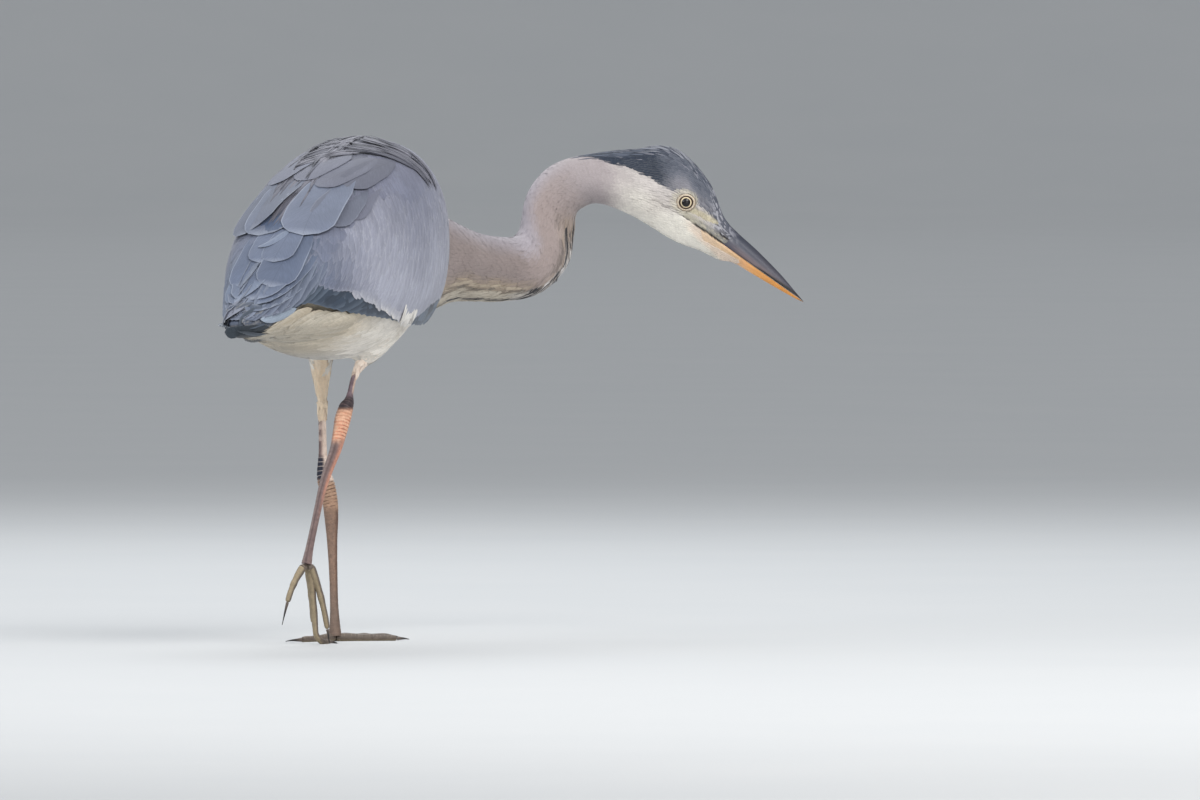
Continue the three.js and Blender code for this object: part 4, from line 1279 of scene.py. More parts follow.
def traced(points, side, ts, own=0.0):
    """Centreline over the outline through places (u, z), root first: places, tangents, normals, length."""
    q = np.array(points, float)
    k = np.concatenate([[0], np.cumsum(np.linalg.norm(np.diff(q, axis=0), axis=1))])
    k = k / k[-1]
    deg = min(3, len(q) - 1)
    u, z = np.polyval(np.polyfit(k, q[:, 0], deg), ts), np.polyval(np.polyfit(k, q[:, 1], deg), ts)
    P = seen(u, z)
    if own:
        s, a = where(P)
        P = outline(s, np.maximum(a, own))
    if side < 0:
        P = across(P)
    P, N = nearest(hull, P)
    P = P * 0.5 + np.concatenate([P[:1], (P[:-2] + P[2:]) / 2, P[-1:]]) * 0.5
    N = unit(N * 0.5 + np.concatenate([N[:1], (N[:-2] + N[2:]) / 2, N[-1:]]) * 0.5)
    T = unit(np.gradient(P, axis=0))
    T = unit(T - N * (T * N).sum(-1, keepdims=True))
    return P[None], T[None], N[None], np.array([np.linalg.norm(np.diff(P, axis=0), axis=1).sum()])


TERTIALS = [
    ([(104.0, 406.0), (84.0, 380.0), (62.0, 355.5), (38.0, 340.5), (13.0, 333.0)], 22, -3.3, -2.3, (106, 112, 130), 0.55, True),
    ([(101.2, 411.9), (75.9, 380.3), (50.6, 358.2), (22.2, 343.1), (-1.5, 336.8)], 31, -3.2, -2.3, (96, 105, 124), 0.45, True),
    ([(41.2, 424.5), (15.9, 388.2), (-1.5, 358.2), (-11.9, 336.0)], 44, -3.0, -2.0, (104, 113, 132), 0.25, False),
    ([(88.6, 415.0), (64.9, 383.4), (42.7, 362.9), (22.2, 348.7), (8.8, 341.6)], 38, -2.6, -1.6, (90, 100, 121), 0.45, True),
    ([(53.8, 418.2), (30.1, 386.6), (13.5, 362.9), (1.7, 342.4)], 42, -2.3, -1.1, (106, 117, 138), 0.35, False),
    ([(79.1, 418.2), (58.5, 389.8), (39.6, 369.2), (26.2, 355.0), (17.5, 345.5)], 42, -1.9, -0.6, (92, 102, 123), 0.45, True),
    ([(75.9, 424.5), (60.1, 399.2), (47.8, 377.1), (38.0, 357.4)], 44, -1.4, 0.1, (90, 100, 122), 0.5, True),
    ([(63.3, 430.8), (53.8, 411.9), (45.9, 394.5), (41.2, 381.1)], 36, -0.8, 0.6, (98, 107, 128), 0.4, True),
    ([(28.0, 366.0), (13.0, 348.0), (2.0, 335.0), (-6.0, 325.5)], 20, -2.4, -0.6, (108, 113, 130), 0.3, False),
    ([(14.0, 360.0), (1.0, 342.0), (-7.0, 328.5), (-11.5, 318.5)], 15, -2.0, 0.2, (112, 117, 134), 0.35, False),
]
# the dark tail, closed, and one pale feather that shows under the tertials
TAIL_END = [
    ([(40.0, 317.0), (24.0, 315.0), (8.0, 313.5), (-8.0, 312.5)], 12, -2.6, -0.6, (50, 58, 66), 0.1, False),
    ([(42.0, 311.5), (27.0, 309.5), (13.0, 307.5), (0.0, 306.5)], 12, -2.2, -0.2, (46, 52, 58), 0.1, False),
    ([(44.0, 306.0), (32.0, 304.0), (21.0, 302.0), (10.0, 301.5)], 10, -1.8, 0.2, (52, 55, 57), 0.1, False),
    ([(66.0, 336.0), (52.0, 330.5), (40.0, 327.0), (29.0, 326.0)], 11, -2.0, 0.2, (150, 162, 178), 0.3, False),
]
SCAPULARS = [
    ([(145.4, 476.7), (129.6, 459.3), (117.0, 441.9), (110.7, 424.5)], 44, -2.3, -1.5, (102, 104, 119), 0.02, True),
    ([(129.6, 462.4), (113.8, 446.6), (99.6, 430.8), (91.7, 418.2)], 46, -1.7, -0.5, (97, 101, 116), 0.2, True),
    ([(75.9, 465.6), (58.5, 445.1), (44.3, 426.1), (34.8, 410.3)], 44, -1.3, 0.2, (70, 84, 110), 0.15, False),
    ([(117.0, 476.7), (98.0, 457.7), (83.8, 438.7), (74.3, 421.4), (69.6, 406.8)], 58, -1.0, 1.2, (98, 105, 123), 0.4, True),
    ([(75.9, 478.2), (53.8, 460.9), (32.5, 440.3), (19.8, 422.9), (12.7, 407.5)], 58, -0.9, 1.5, (96, 102, 119), 0.35, False),
    ([(142.3, 483.0), (121.7, 475.1), (101.2, 465.6), (83.8, 454.5)], 34, -0.5, 0.5, (92, 94, 108), 0.08, True),
    ([(159.7, 481.4), (142.3, 473.5), (124.9, 464.0), (112.3, 454.5)], 34, -0.6, 0.4, (88, 90, 104), 0.08, True),
    ([(117.0, 485.4), (98.0, 479.0), (79.1, 470.3), (63.3, 460.1)], 32, 0.0, 1.0, (98, 100, 114), 0.15, False),
    ([(85.4, 485.4), (68.0, 478.2), (52.2, 468.0), (38.0, 455.3)], 34, 0.1, 1.2, (99, 102, 117), 0.15, False),
    ([(60.1, 415.4), (47.5, 406.8), (35.6, 398.9), (25.7, 395.3)], 9, 0.2, 1.6, (120, 130, 150), 0.6, False),
]
PLUMES_TOP = [(202.0, 450.0), (194.0, 470.5), (171.0, 490.5), (137.0, 502.5), (111.0, 504.5), (84.5, 500.5), (63.3, 489.3), (44.3, 479.0), (30.1, 468.8)]
PLUMES_LOW = [(193.6, 446.6), (175.5, 470.3), (150.2, 480.6), (126.5, 483.8), (107.5, 484.9), (88.6, 482.2), (69.6, 475.9), (53.8, 468.0), (41.2, 460.9)]


def wings(side, label):
    # the flight feathers, under everything else
    fl = Coat("coat_flight_" + label, "flight_feathers", FLIGHT)

    def under_wing(s, a, phi, L, width, lift, base, edge, ts=T8, shape="broad", tilt=0.04, edge_at=0.88):
        n = len(s)
        tip = outline(s, side * a)
        _, f, g = body_frame(s, a, side)
        D = unit(-f * np.cos(phi * DEG)[:, None] + g * np.sin(phi * DEG)[:, None])
        C, T, N = from_tip(hull, tip, D, L, ts, bend=0.8)
        fl.add(C, T, N, L, width, ts, body_uv(C[:, 0]), base, shape=shape, sec=8, thick=0.4, lift=lift, edge=edge, edge_at=edge_at,
               camber=0.05, tilt=np.full(n, tilt * side), root_dark=1.0)

    n = 24
    s = np.linspace(66, 300, n) + rand(n, -2, 2)
    base = mix(lin(48, 60, 76), lin(40, 49, 62), rand(n, 0, 0.7))
    under_wing(s, wingFoot(s) - 0.10 + 0.04 * smooth(180, 260, s), 20 - 6 * smooth(60, 200, s), rand(n, 0.118, 0.13), rand(n, 0.022, 0.026), (-3.6, -2.0), base,
               mix(base, lin(104, 116, 132), np.full(n, 0.5)))
    # primaries: their tips close under the tertials over the tail
    n = 10
    s = np.linspace(4, 66, n)
    base = mix(lin(52, 60, 72), lin(38, 45, 56), rand(n, 0, 1))
    under_wing(s, wingFoot(np.maximum(s, 16)) - 0.34, np.full(n, 8.0), np.full(n, 0.12), np.full(n, 0.021), (-4.7, -4.1), base,
               mix(base, lin(84, 96, 112), np.full(n, 0.5)))
    # the dark patch at the wrist, low in front
    n = 26
    s = np.linspace(284, 372, n) + rand(n, -2, 2)
    base = mix(lin(86, 99, 116), lin(62, 74, 92), rand(n, 0, 1))
    a = wingFoot(s) - rand(n, 0.0, 0.06)
    under_wing(s, a, lie_angle(s) - 4, rand(n, 0.040, 0.050), rand(n, 0.016, 0.020), (-3.4, -1.9), base, mix(base, lin(120, 130, 144), np.full(n, 0.4)),
               ts=T6, shape="round")
    fl.build()

    cv = Coat("coat_coverts_" + label, "plumage_wing", WING)

    def row(s, arc, L, width, lift, base, extra=0.0, shape="round", edge=None, edge_at=0.8, sec=8, ts=T8, rough=0.0, steer=0.35,
            thick=0.2, root_dark=1.0, camber=0.08, dip=0.45, **kw):
        a = np.minimum(angle_of(s, arc), wingFoot(s) + 0.02)
        tip = outline(s, side * a)
        _, D = lie(s, a, side, extra=extra)
        C, T, N = from_tip(hull, tip, D, L, ts, flow=body_flow, steer=steer, bend=0.8)
        cv.add(C, T, N, L, width, ts, body_uv(C[:, 0]), base, shape=shape, sec=sec, thick=thick, lift=lift, edge=edge,
               edge_at=edge_at, rough=rough, root_dark=root_dark, camber=camber, dip=dip, **kw)

    # an under layer closes the gaps
    ss, aa = [], []
    for k, s in enumerate(np.arange(30, 396, 13.0)):
        foot = min(arc_of(s, wingFoot(s))[0], float(np.interp(s, *TIP_LINE)) + 4)
        arc = np.arange(5 + 7 * (k % 2), foot, 14.0)
        ss += [s] * len(arc)
        aa += arc.tolist()
    s, arc = np.array(ss), np.array(aa)
    n = len(s)
    base = wing_colour(outline(s, side * angle_of(s, arc)), smooth(60, 130, arc), s, arc) * 0.92
    row(s, arc, np.full(n, 0.050), np.full(n, 0.027) * (0.6 + 0.4 * smooth(30, 90, s)), (-4.6, -2.9), base, ts=T6, sec=4)

    # long greater coverts, with whitish ends along their line
    s = np.arange(84, 384, 5.4)
    n = len(s)
    arc = np.interp(s, *TIP_LINE) + rand(n, -1.6, 1.6)
    base = wing_colour(outline(s, side * angle_of(s, arc)), np.ones(n), s, arc)
    row(s, arc, rand(n, 0.080, 0.092), rand(n, 0.0135, 0.0155), (-3.2, -1.3), base, edge=mix(base, COVERT_EDGE, 0.25 + 0.5 * smooth(110, 180, s)), edge_at=0.7, ts=T10,
        tip=mix(base, lin(210, 208, 210), smooth(150, 215, s) * smooth(262, 240, s) * rand(n, 0.3, 0.95)), tip_at=0.93, rough=0.08)
    # small whitish scallops along the last of that line, and loose white ones at the corner
    s = np.arange(150, 258, 5.6)
    n = len(s)
    arc = np.interp(s, *TIP_LINE) + rand(n, 0.5, 3.5)
    row(s, arc, rand(n, 0.010, 0.016), rand(n, 0.008, 0.0125), (-2.2, -0.9), mix(lin(150, 152, 164), lin(180, 180, 188), smooth(180, 260, s)),
        tip=mix(lin(176, 177, 186), lin(232, 228, 224), smooth(170, 232, s) * rand(n, 0.35, 1.0)), tip_at=0.6, rough=0.12, ts=T6)
    n = 56
    s = rand(n, 246, 280)
    arc = np.interp(s, *TIP_LINE) + rand(n, -1, 7) - 0.012 * (s - 263) ** 2
    row(s, arc, rand(n, 0.010, 0.019), rand(n, 0.0028, 0.0048), (-2.0, rand(n, -0.4, 1.4)), mix(lin(206, 203, 200), lin(232, 228, 222), rand(n, 0, 1)), rough=0.1, ts=T6,
        extra=rand(n, -34, 34), shape="lance", sec=4)
    # rows above them
    rows_up = 8
    for k in range(1, rows_up + 1):
        step = 15.0 * k
        s = np.arange(92 + 4 * (k % 2) + 8 * k, 394 - 1.0 * k, 7.0 - 0.12 * k)
        n = len(s)
        s = s + rand(n, -1.6, 1.6)
        arc = np.interp(s, *TIP_LINE) - step + rand(n, -5.5, 5.5)
        keep = arc > 34 + 0.10 * np.maximum(0, s - 140)
        s, arc = s[keep], arc[keep]
        n = len(s)
        if not n:
            continue
        low = np.full(n, 1 - (k - 1) / (rows_up + 1.0))
        base = wing_colour(outline(s, side * angle_of(s, arc)), low, s, arc)
        front = smooth(330, 385, s)
        L = rand(n, 0.066, 0.080) * (1 - 0.5 * front)
        row(s, arc, L, rand(n, 0.0125, 0.0150), (-3.0, -1.25 + 0.07 * k), base, edge=mix(base, COVERT_EDGE, (0.55 * low + 0.1) * (0.25 + 0.75 * smooth(130, 200, s))),
            edge_at=0.72, ts=T8, rough=0.07, tip=mix(base, COVERT_EDGE, 0.12 * low), tip_at=0.8, shape="soft")

    # small rounded lesser coverts over the bend and the upper wing
    ss, aa = [], []
    k = 0
    for s in np.arange(120, 404, 9.0):
        top = 34 + 0.13 * max(0.0, s - 140)
        end = float(np.interp(s, *TIP_LINE)) - 15.0 * 8.0
        if s > 330:
            end = end + (s - 330) * 2.0
        arc = np.arange(top + 4.0 * (k % 2), max(end, top + 30), 8.2)
        ss += [s] * len(arc)
        aa += arc.tolist()
        k += 1
    s, arc = np.array(ss), np.array(aa)
    n = len(s)
    s = s + rand(n, -2.4, 2.4)
    arc = arc + rand(n, -2.4, 2.4)
    foot = arc_of(s, wingFoot(s))
    keep = arc < foot - 8
    s, arc = s[keep], arc[keep]
    n = len(s)
    base = wing_colour(outline(s, side * angle_of(s, arc)), np.zeros(n), s, arc)
    front = smooth(350, 396, s)
    spot = (rng.random(n) > 0.62) * front
    base = mix(base, lin(92, 94, 108), 0.6 * spot)
    L = rand(n, 0.040, 0.050) * (1 - 0.55 * front)
    row(s, arc, L, rand(n, 0.016, 0.020) * (1 - 0.45 * front), (-2.6, -0.7), base, edge=mix(base, COVERT_EDGE, 0.12 + 0.5 * front),
        edge_at=0.6, ts=T8, rough=0.09, shape="soft")
    # streaked feathers in front of the bend of the wing
    n = 70
    s = rand(n, 384, 425)
    a = rand(n, 0.35, 1.35)
    ink = rng.random(n)
    base = mix(lin(92, 93, 106), lin(150, 149, 159), ink)
    tip = outline(s, side * a)
    _, D = lie(np.minimum(s, 395), a, side)
    C, T, N = from_tip(hull, tip, D, rand(n, 0.02, 0.032), T6, flow=body_flow, steer=0.3, bend=0.8)
    cv.add(C, T, N, rand(n, 0.02, 0.032), rand(n, 0.0035, 0.006), T6, body_uv(C[:, 0]), base, shape="lance", sec=4, thick=0.2, lift=(-2.4, rand(n, -1.5, -0.8)),
           edge=mix(base, lin(180, 178, 186), rand(n, 0, 0.5)), edge_at=0.5, camber=0.15, root_dark=1.0)
    cv.build()

    # tertials and scapulars
    sc = Coat("coat_scapulars_" + label, "plumage_back", WING)

    def big(s, a, L, width, lift, base, phi, edge, shape="broad", bend=0.7, tilt=0.03, rough=0.05, tip=None, edge_at=0.88, ts=T10,
            thick=0.25, steer=0.10, root_dark=1.0, camber=0.07, dip=0.3, **kw):
        s, a, L, width, phi = [np.atleast_1d(np.asarray(v, float)) for v in (s, a, L, width, phi)]
        n = len(s)
        L, width, phi = np.broadcast_to(L, n), np.broadcast_to(width, n), np.broadcast_to(phi, n)
        tip_at = outline(s, side * a)
        _, f, g = body_frame(s, a, side)
        D = unit(-f * np.cos(phi * DEG)[:, None] + g * np.sin(phi * DEG)[:, None])
        C, T, N = from_tip(hull, tip_at, D, L, ts, flow=body_flow, steer=steer, bend=bend)
        sc.add(C, T, N, L, width, ts, body_uv(C[:, 0]), base, tip=tip, shape=shape, sec=12, thick=thick, lift=lift, edge=edge,
               edge_at=edge_at, camber=camber, tilt=np.full(n, tilt * side), rough=rough, tip_at=0.7, root_dark=root_dark, dip=dip, **kw)

    # tertials, nested one over another, the outermost longest and lowest
    T1, T2 = lin(84, 92, 110), lin(92, 100, 118)
    outer = [(92, 81, .150, 34), (76, 81, .150, 36), (60, 79, .150, 38), (45, 74, .150, 38), (32, 68, .150, 36), (21, 60, .148, 33), (12, 50, .145, 30)]
    for k, (s, a, L, w) in enumerate(outer):
        base = mix(T1, T2, np.array([(k % 2) * 0.7 + 0.15]))
        big(s, (a - 7) * DEG, L, w * 0.001, (-3.9 + 0.1 * k, -3.0 + 0.05 * k), base, 28 - 2.2 * k, mix(base, lin(150, 158, 174), np.array([0.3])), tilt=0.05, edge_at=0.9)
    inner = [(7, 38, .130, 26), (5, 24, .125, 24), (3, 10, .12, 22), (40, 52, .120, 32), (30, 36, .120, 30), (24, 20, .12, 28), (62, 44, .115, 34), (54, 26, .115, 32), (50, 10, .11, 30)]
    for k, (s, a, L, w) in enumerate(inner):
        base = mix(T2, lin(108, 116, 134), np.array([(k % 2) * 0.6]))
        big(s + 4, a * DEG, L, w * 0.001, (-3.5 + 0.05 * k, -2.7 + 0.05 * k), base, 6 + 0.34 * a, mix(base, lin(150, 158, 174), np.array([0.3])), tilt=0.03, edge_at=0.9)
    # scapulars: the long ones end in a fold across the back, the others lie soft above them
    rows_of = [
        # s of the tips, arcs, number, length, width, lift at the tip, pale edge
        (92, (3, 28), 3, 0.110, 0.036, -2.2, 0.04), (128, (2, 44), 5, 0.125, 0.036, -2.0, 0.04), (158, (4, 64), 7, 0.115, 0.034, -1.4, 0.1),
        (192, (3, 66), 8, 0.105, 0.030, -1.4, 0.06), (224, (4, 68), 9, 0.10, 0.027, -1.4, 0.06), (254, (4, 72), 10, 0.095, 0.024, -1.3, 0.06),
        (282, (4, 74), 10, 0.09, 0.022, -1.3, 0.06),
    ]
    for k, (s0, arcs, n, L, w, tiplift, pale) in enumerate(rows_of):
        arc = np.linspace(arcs[0], arcs[1], n) + rand(n, -1.5, 1.5)
        s = s0 + 0.50 * (arc - 5) + rand(n, -5, 5)
        dark = smooth(60, 150, s) * smooth(8, 40, arc)
        base = mix(lin(88, 96, 114), lin(78, 84, 98), np.clip(0.1 + 0.7 * dark, 0, 1))
        base = mix(base, lin(84, 98, 122), 0.6 * gauss(arc - 16, 12) * smooth(190, 110, s))
        base = mix(base, lin(90, 91, 104), smooth(170, 240, s) * 0.85)
        base = base * (0.92 + 0.16 * rng.random((n, 1)))
        big(s, angle_of(s, arc), L * rand(n, 0.9, 1.1), w * rand(n, 0.9, 1.1), (-2.6, tiplift), base, 8 + 0.5 * arc,
            mix(base, lin(160, 166, 182), np.full(n, pale)), shape="broad", tilt=0.03, rough=0.07, dip=0.0 if k == 1 else 0.5)
    # the broad feathers one sees: nested tertials, then the scapulars that end in a fold
    for table in (TAIL_END, TERTIALS, SCAPULARS):
        for points, w, l0, l1, rgb, rim, both in table:
            if side < 0 and not both:
                continue
            sink = 0.0 if side > 0 else 0.9
            C, T, N, L = traced(points, side, T12, 0.10 if both else 0.0)
            base = lin(*rgb)[None] * (0.90 + 0.06 * rng.random())
            narrow = w < 12
            sc.add(C, T, N, L, np.array([w * 0.001]), T12, body_uv(C[:, 0]), base, tip=base * 1.1, shape="blade" if not narrow else "soft", sec=14, thick=0.35,
                   lift=(l0 - sink, l1 - sink), lift_pow=1.6, camber=0.05 if not narrow else 0.2, tilt=np.array([0.02 * side]), rough=0.02, tip_at=0.6, root_dark=1.0, dip=0.1,
                   edge=mix(base, lin(178, 184, 198), np.array([rim])), edge_at=0.93)
    # long narrow plumes with dark edges along the top of the back
    top, low = np.array(PLUMES_TOP), np.array(PLUMES_LOW)
    knots = np.linspace(0, 1, len(top))
    for k in range(74):
        far = side > 0 and k >= 34
        if side < 0:
            break
        p0 = (0.40 + 0.36 * rng.random()) if far else 0.30 * rng.random() ** 1.2
        p = p0 + (0.16 + 0.17 * rng.random()) * T10
        p = np.minimum(p, 1.0) if p[-2] < 1.0 else np.linspace(p0, 1, 11)
        w = np.clip((1.0 if far else 0.7) * rng.random() ** 1.1 + (rng.random() - 0.5) * 0.3 * T10, -0.05, 1.0)
        guide = lambda g: np.stack([np.interp(p, knots, g[:, 0]), np.interp(p, knots, g[:, 1])], -1)
        C, T, N, L = traced(guide(top) * (1 - w)[:, None] + guide(low) * w[:, None], side, T10, -0.26 if far else 0.02 + 0.06 * rng.random())
        ink = rng.random()
        base = mix(lin(60, 62, 75), lin(114, 113, 124), np.array([ink**0.8]))
        sc.add(C, T, N, L, rand(1, 0.0036, 0.0060), T10, body_uv(C[:, 0]), base, tip=mix(lin(50, 51, 64), base, np.array([0.4])), shape="lance", sec=8, thick=0.3,
               lift=(0.2, float(rand(1, 0.8, 2.2)[0])), camber=0.12, rough=0.0, tip_at=0.6, root_dark=1.0,
               edge=mix(lin(26, 28, 38), base, np.array([0.1 + 0.5 * rng.random()])), edge_at=0.4)
    # and others that lie straight back along it
    n = 110 if side < 0 else 26
    s = rand(n, 130, 318)
    arc = rand(n, 2, 40) if side < 0 else rand(n, 1, 7)
    ink = rng.random(n)
    base = mix(lin(74, 75, 88), lin(120, 119, 130), ink**0.7)
    big(s, angle_of(s, arc), rand(n, 0.07, 0.11), rand(n, 0.005, 0.0075), (-0.9, rand(n, -0.2, 0.9)), base, rand(n, 0, 12), mix(lin(40, 42, 54), base, rand(n, 0, 0.5)),
        shape="lance", tilt=0.0, rough=0.0, edge_at=0.5, bend=0.8, tip=mix(lin(54, 56, 70), base, np.full(n, 0.3)), thick=0.3, camber=0.14, dip=0.0)
    # a few that end free of the back
    if side < 0:
        n = 4
        s = rand(n, 176, 232)
        arc = rand(n, 2, 12) + 0.08 * (s - 186)
        base = mix(lin(90, 92, 106), lin(128, 127, 138), rand(n, 0, 1))
        big(s, angle_of(s, arc), rand(n, 0.12, 0.16), rand(n, 0.006, 0.009), (-1.2, rand(n, 0.8, 2.2)), base, rand(n, -6, 2), np.broadcast_to(lin(44, 46, 58), (n, 3)),
            shape="lance", tilt=0.0, rough=0.0, edge_at=0.35, bend=0.6, tip=np.broadcast_to(lin(56, 58, 70), (n, 3)), thick=0.3, camber=0.16, dip=0.0, lift_pow=2.2)
    sc.build()


def lie_angle(s):
    return downMid(s)


for side, label in ((1, "right"), (-1, "left")):
    wings(side, label)

tailMiddle = curve([[0, 316.5], [50, 319], [100, 325], [150, 335]])
# the tail
tl = Coat("coat_tail", "flight_feathers", FLIGHT)
n = 12
x = np.linspace(-1, 1, n)
order = np.argsort(-np.abs(x), kind="stable")
ts = T8
for k, i in enumerate(order):
    r0, r1 = x[i] * 5.0, x[i] * 14.5
    s0, s1 = 136.0, 1.5 + 3.5 * x[i] ** 2
    s = s0 + (s1 - s0) * ts
    r = r0 + (r1 - r0) * ts**0.8
    roll = 0.3
    z = tailMiddle(s) - r * math.tan(roll) * 0.95 + 0.12 * k - 0.6 - 0.05 * r**2 / 10
    C = bird(s, r, z)[None]
    T = unit(np.gradient(C[0], axis=0))[None]
    up = np.array([math.sin(roll) * 1.0, 0, math.cos(roll)])
    up = np.array([-math.sin(roll), 0, math.cos(roll)])
    N = np.broadcast_to(up, C.shape)
    tl.add(C, T, N, np.array([0.135]), np.array([0.017]), ts, np.array([[0.1 + 0.02 * k, 0.02 + 0.05 * (i / 12)]]), mix(lin(36, 43, 50), lin(44, 52, 62), rand(1, 0, 1)),
           shape="broad", sec=8, thick=0.5, lift=(0, 0), camber=0.03, edge=lin(80, 90, 102), edge_at=0.9)
tl.build()


# ---- breast, belly and thighs -----------------------------------------------------------------
def belly_colour(p):
    s, r, z = unbird(p)
    n1, n2 = noise(p, 26, 11), noise(p, 80, 12)
    c = mix(CREAM, CREAM_WARM, np.clip(n1 * 1.2 - 0.2, 0, 1) * 0.6)
    c = mix(c, lin(214, 211, 207), smooth(180, 260, s) * 0.7)
    c = mix(c, lin(170, 162, 148), smooth(0.55, 0.9, n2) * 0.5)
    # the sides of the breast turn to the grey of the neck
    c = mix(c, MAUVE, smooth(346, 384, s) * smooth(-0.4, 0.15, (z - 330) / 60))
    c = mix(c, lin(118, 122, 138), smooth(384, 400, s) * smooth(388, 412, z))
    # painted shade: the belly is darker low down, where it lies in shadow; it is also darker towards the tail
    c = c * ((0.66 + 0.42 * smooth(110, 260, s)) * (0.60 + 0.44 * smooth(270, 318, z) + 0.16 * smooth(230, 300, s)))[..., None]
    c = mix(c, lin(50, 58, 70), smooth(18, 5, s + (n2 - 0.5) * 10))
    return mix(c, lin(74, 82, 98), smooth(86, 68, s) * smooth(-6, -1, z - wingLower(s)))


def trunk_seeds(s0, s1, gap_s, gap_a, low, high):
    """Seeds over the trunk between two angle laws, from the ridge round to the keel."""
    S, A = [], []
    for k, s in enumerate(np.arange(s0, s1, gap_s)):
        a = np.linspace(0, math.pi, 181)
        q = flesh(np.full(181, s), a, 4.0)
        arc = np.concatenate([[0], np.cumsum(np.linalg.norm(np.diff(q, axis=0), axis=1))]) * 1000
        lo, hi = np.interp(low(s), a, arc), np.interp(high(s), a, arc)
        m = max(1, int((hi - lo) / gap_a))
        pos = lo + (np.arange(m) + 0.5 * (k % 2) + 0.25) * (hi - lo) / m + rand(m, -0.3, 0.3) * gap_a
        S.append(np.full(m, s) + rand(m, -0.3, 0.3) * gap_s)
        A.append(np.interp(pos, arc, a))
    return np.concatenate(S), np.concatenate(A)


def under(s, a, side, L, width, lift, phi, coat, ts=T8, sec=4, shape="soft", rough=0.12, pale=0.2, root_dark=1.0, thick=0.16, on=None):
    K = len(s)
    on = on or hide
    P, N = nearest(on, flesh(s, side * a, 4.0 if on is hide else 0.0))
    f = unit(flesh(s + 2, side * a, 4.0) - flesh(s - 2, side * a, 4.0))
    g = unit(flesh(s, side * (a + 0.02), 4.0) - flesh(s, side * (a - 0.02), 4.0))
    g = unit(g - f * (f * g).sum(-1, keepdims=True))
    D = unit(-f * np.cos(phi * DEG)[:, None] + g * np.sin(phi * DEG)[:, None])
    C, T, M = lay(on, P, D, L, ts, bend=0.75, up=N)
    base = belly_colour(P)
    coat.add(C, T, M, L, width, ts, body_uv(P), base, shape=shape, sec=sec, thick=thick, lift=lift, rough=rough, camber=0.16, dip=0.4,
             edge=mix(base, lin(226, 220, 208), np.full(K, pale)), edge_at=0.45, root_dark=root_dark, vary=0.05)


belly = {1: Coat("coat_belly_right", "plumage_back", DOWN), -1: Coat("coat_belly_left", "plumage_back", DOWN)}
for side in (1, -1):
    s, a = trunk_seeds(40, 426, 5.6, 4.6, lambda s: wingFoot(s) - 0.28 if s < 388 else 0.0, lambda s: math.pi)
    n = len(s)
    deep = np.abs(a - math.pi)
    phi = 8 + 20 * smooth(0, 1.0, deep) * smooth(60, 160, s)
    front = smooth(330, 400, s)
    L = rand(n, 0.034, 0.046) * (0.75 + 0.3 * smooth(80, 200, s)) * (1 - 0.3 * front)
    under(s, a, side, L, rand(n, 0.0085, 0.0115) * (1 - 0.25 * front), (0.3, 2.5), phi, belly[side])
    # longer loose ones over the flank and under the tail
    n = 190
    s = rand(n, 80, 320)
    a = wingFoot(s) + rand(n, -0.10, 0.75) * (1 - 0.6 * smooth(215, 240, s))
    a = np.where((s > 165) & (s < 275), np.minimum(a, wingFoot(s) + 0.16), a)
    under(s, a, side, rand(n, 0.050, 0.070), rand(n, 0.008, 0.012), (0.6, 2.7), rand(n, 6, 34), belly[side], ts=T10, pale=0.3)
    # and those that close over the wing's edge and run on beside the tail
    n = 230
    s = rand(n, 52, 168)
    a = wingFoot(s) - 0.10 * smooth(84, 100, s) + 0.42 * smooth(92, 66, s) + (1.35 - 0.42 * smooth(92, 66, s) - 1.0 * smooth(110, 150, s)) * rng.random(n) ** 1.6
    under(s, a, side, rand(n, 0.040, 0.056) * (0.75 + 0.25 * smooth(50, 90, s)), rand(n, 0.009, 0.013), (-3.8, rand(n, -1.6, -0.6) - 1.0 * smooth(90, 66, s)), rand(n, 0, 8), belly[side], ts=T8, pale=0.3, on=hull)
    n = 34
    s = rand(n, 92, 122)
    a = math.pi - rand(n, 0.0, 1.35)
    under(s, a, side, rand(n, 0.052, 0.070), rand(n, 0.009, 0.013), (0.6, 2.2), rand(n, 0, 12), belly[side], ts=T10, pale=0.3)
    belly[side].build()

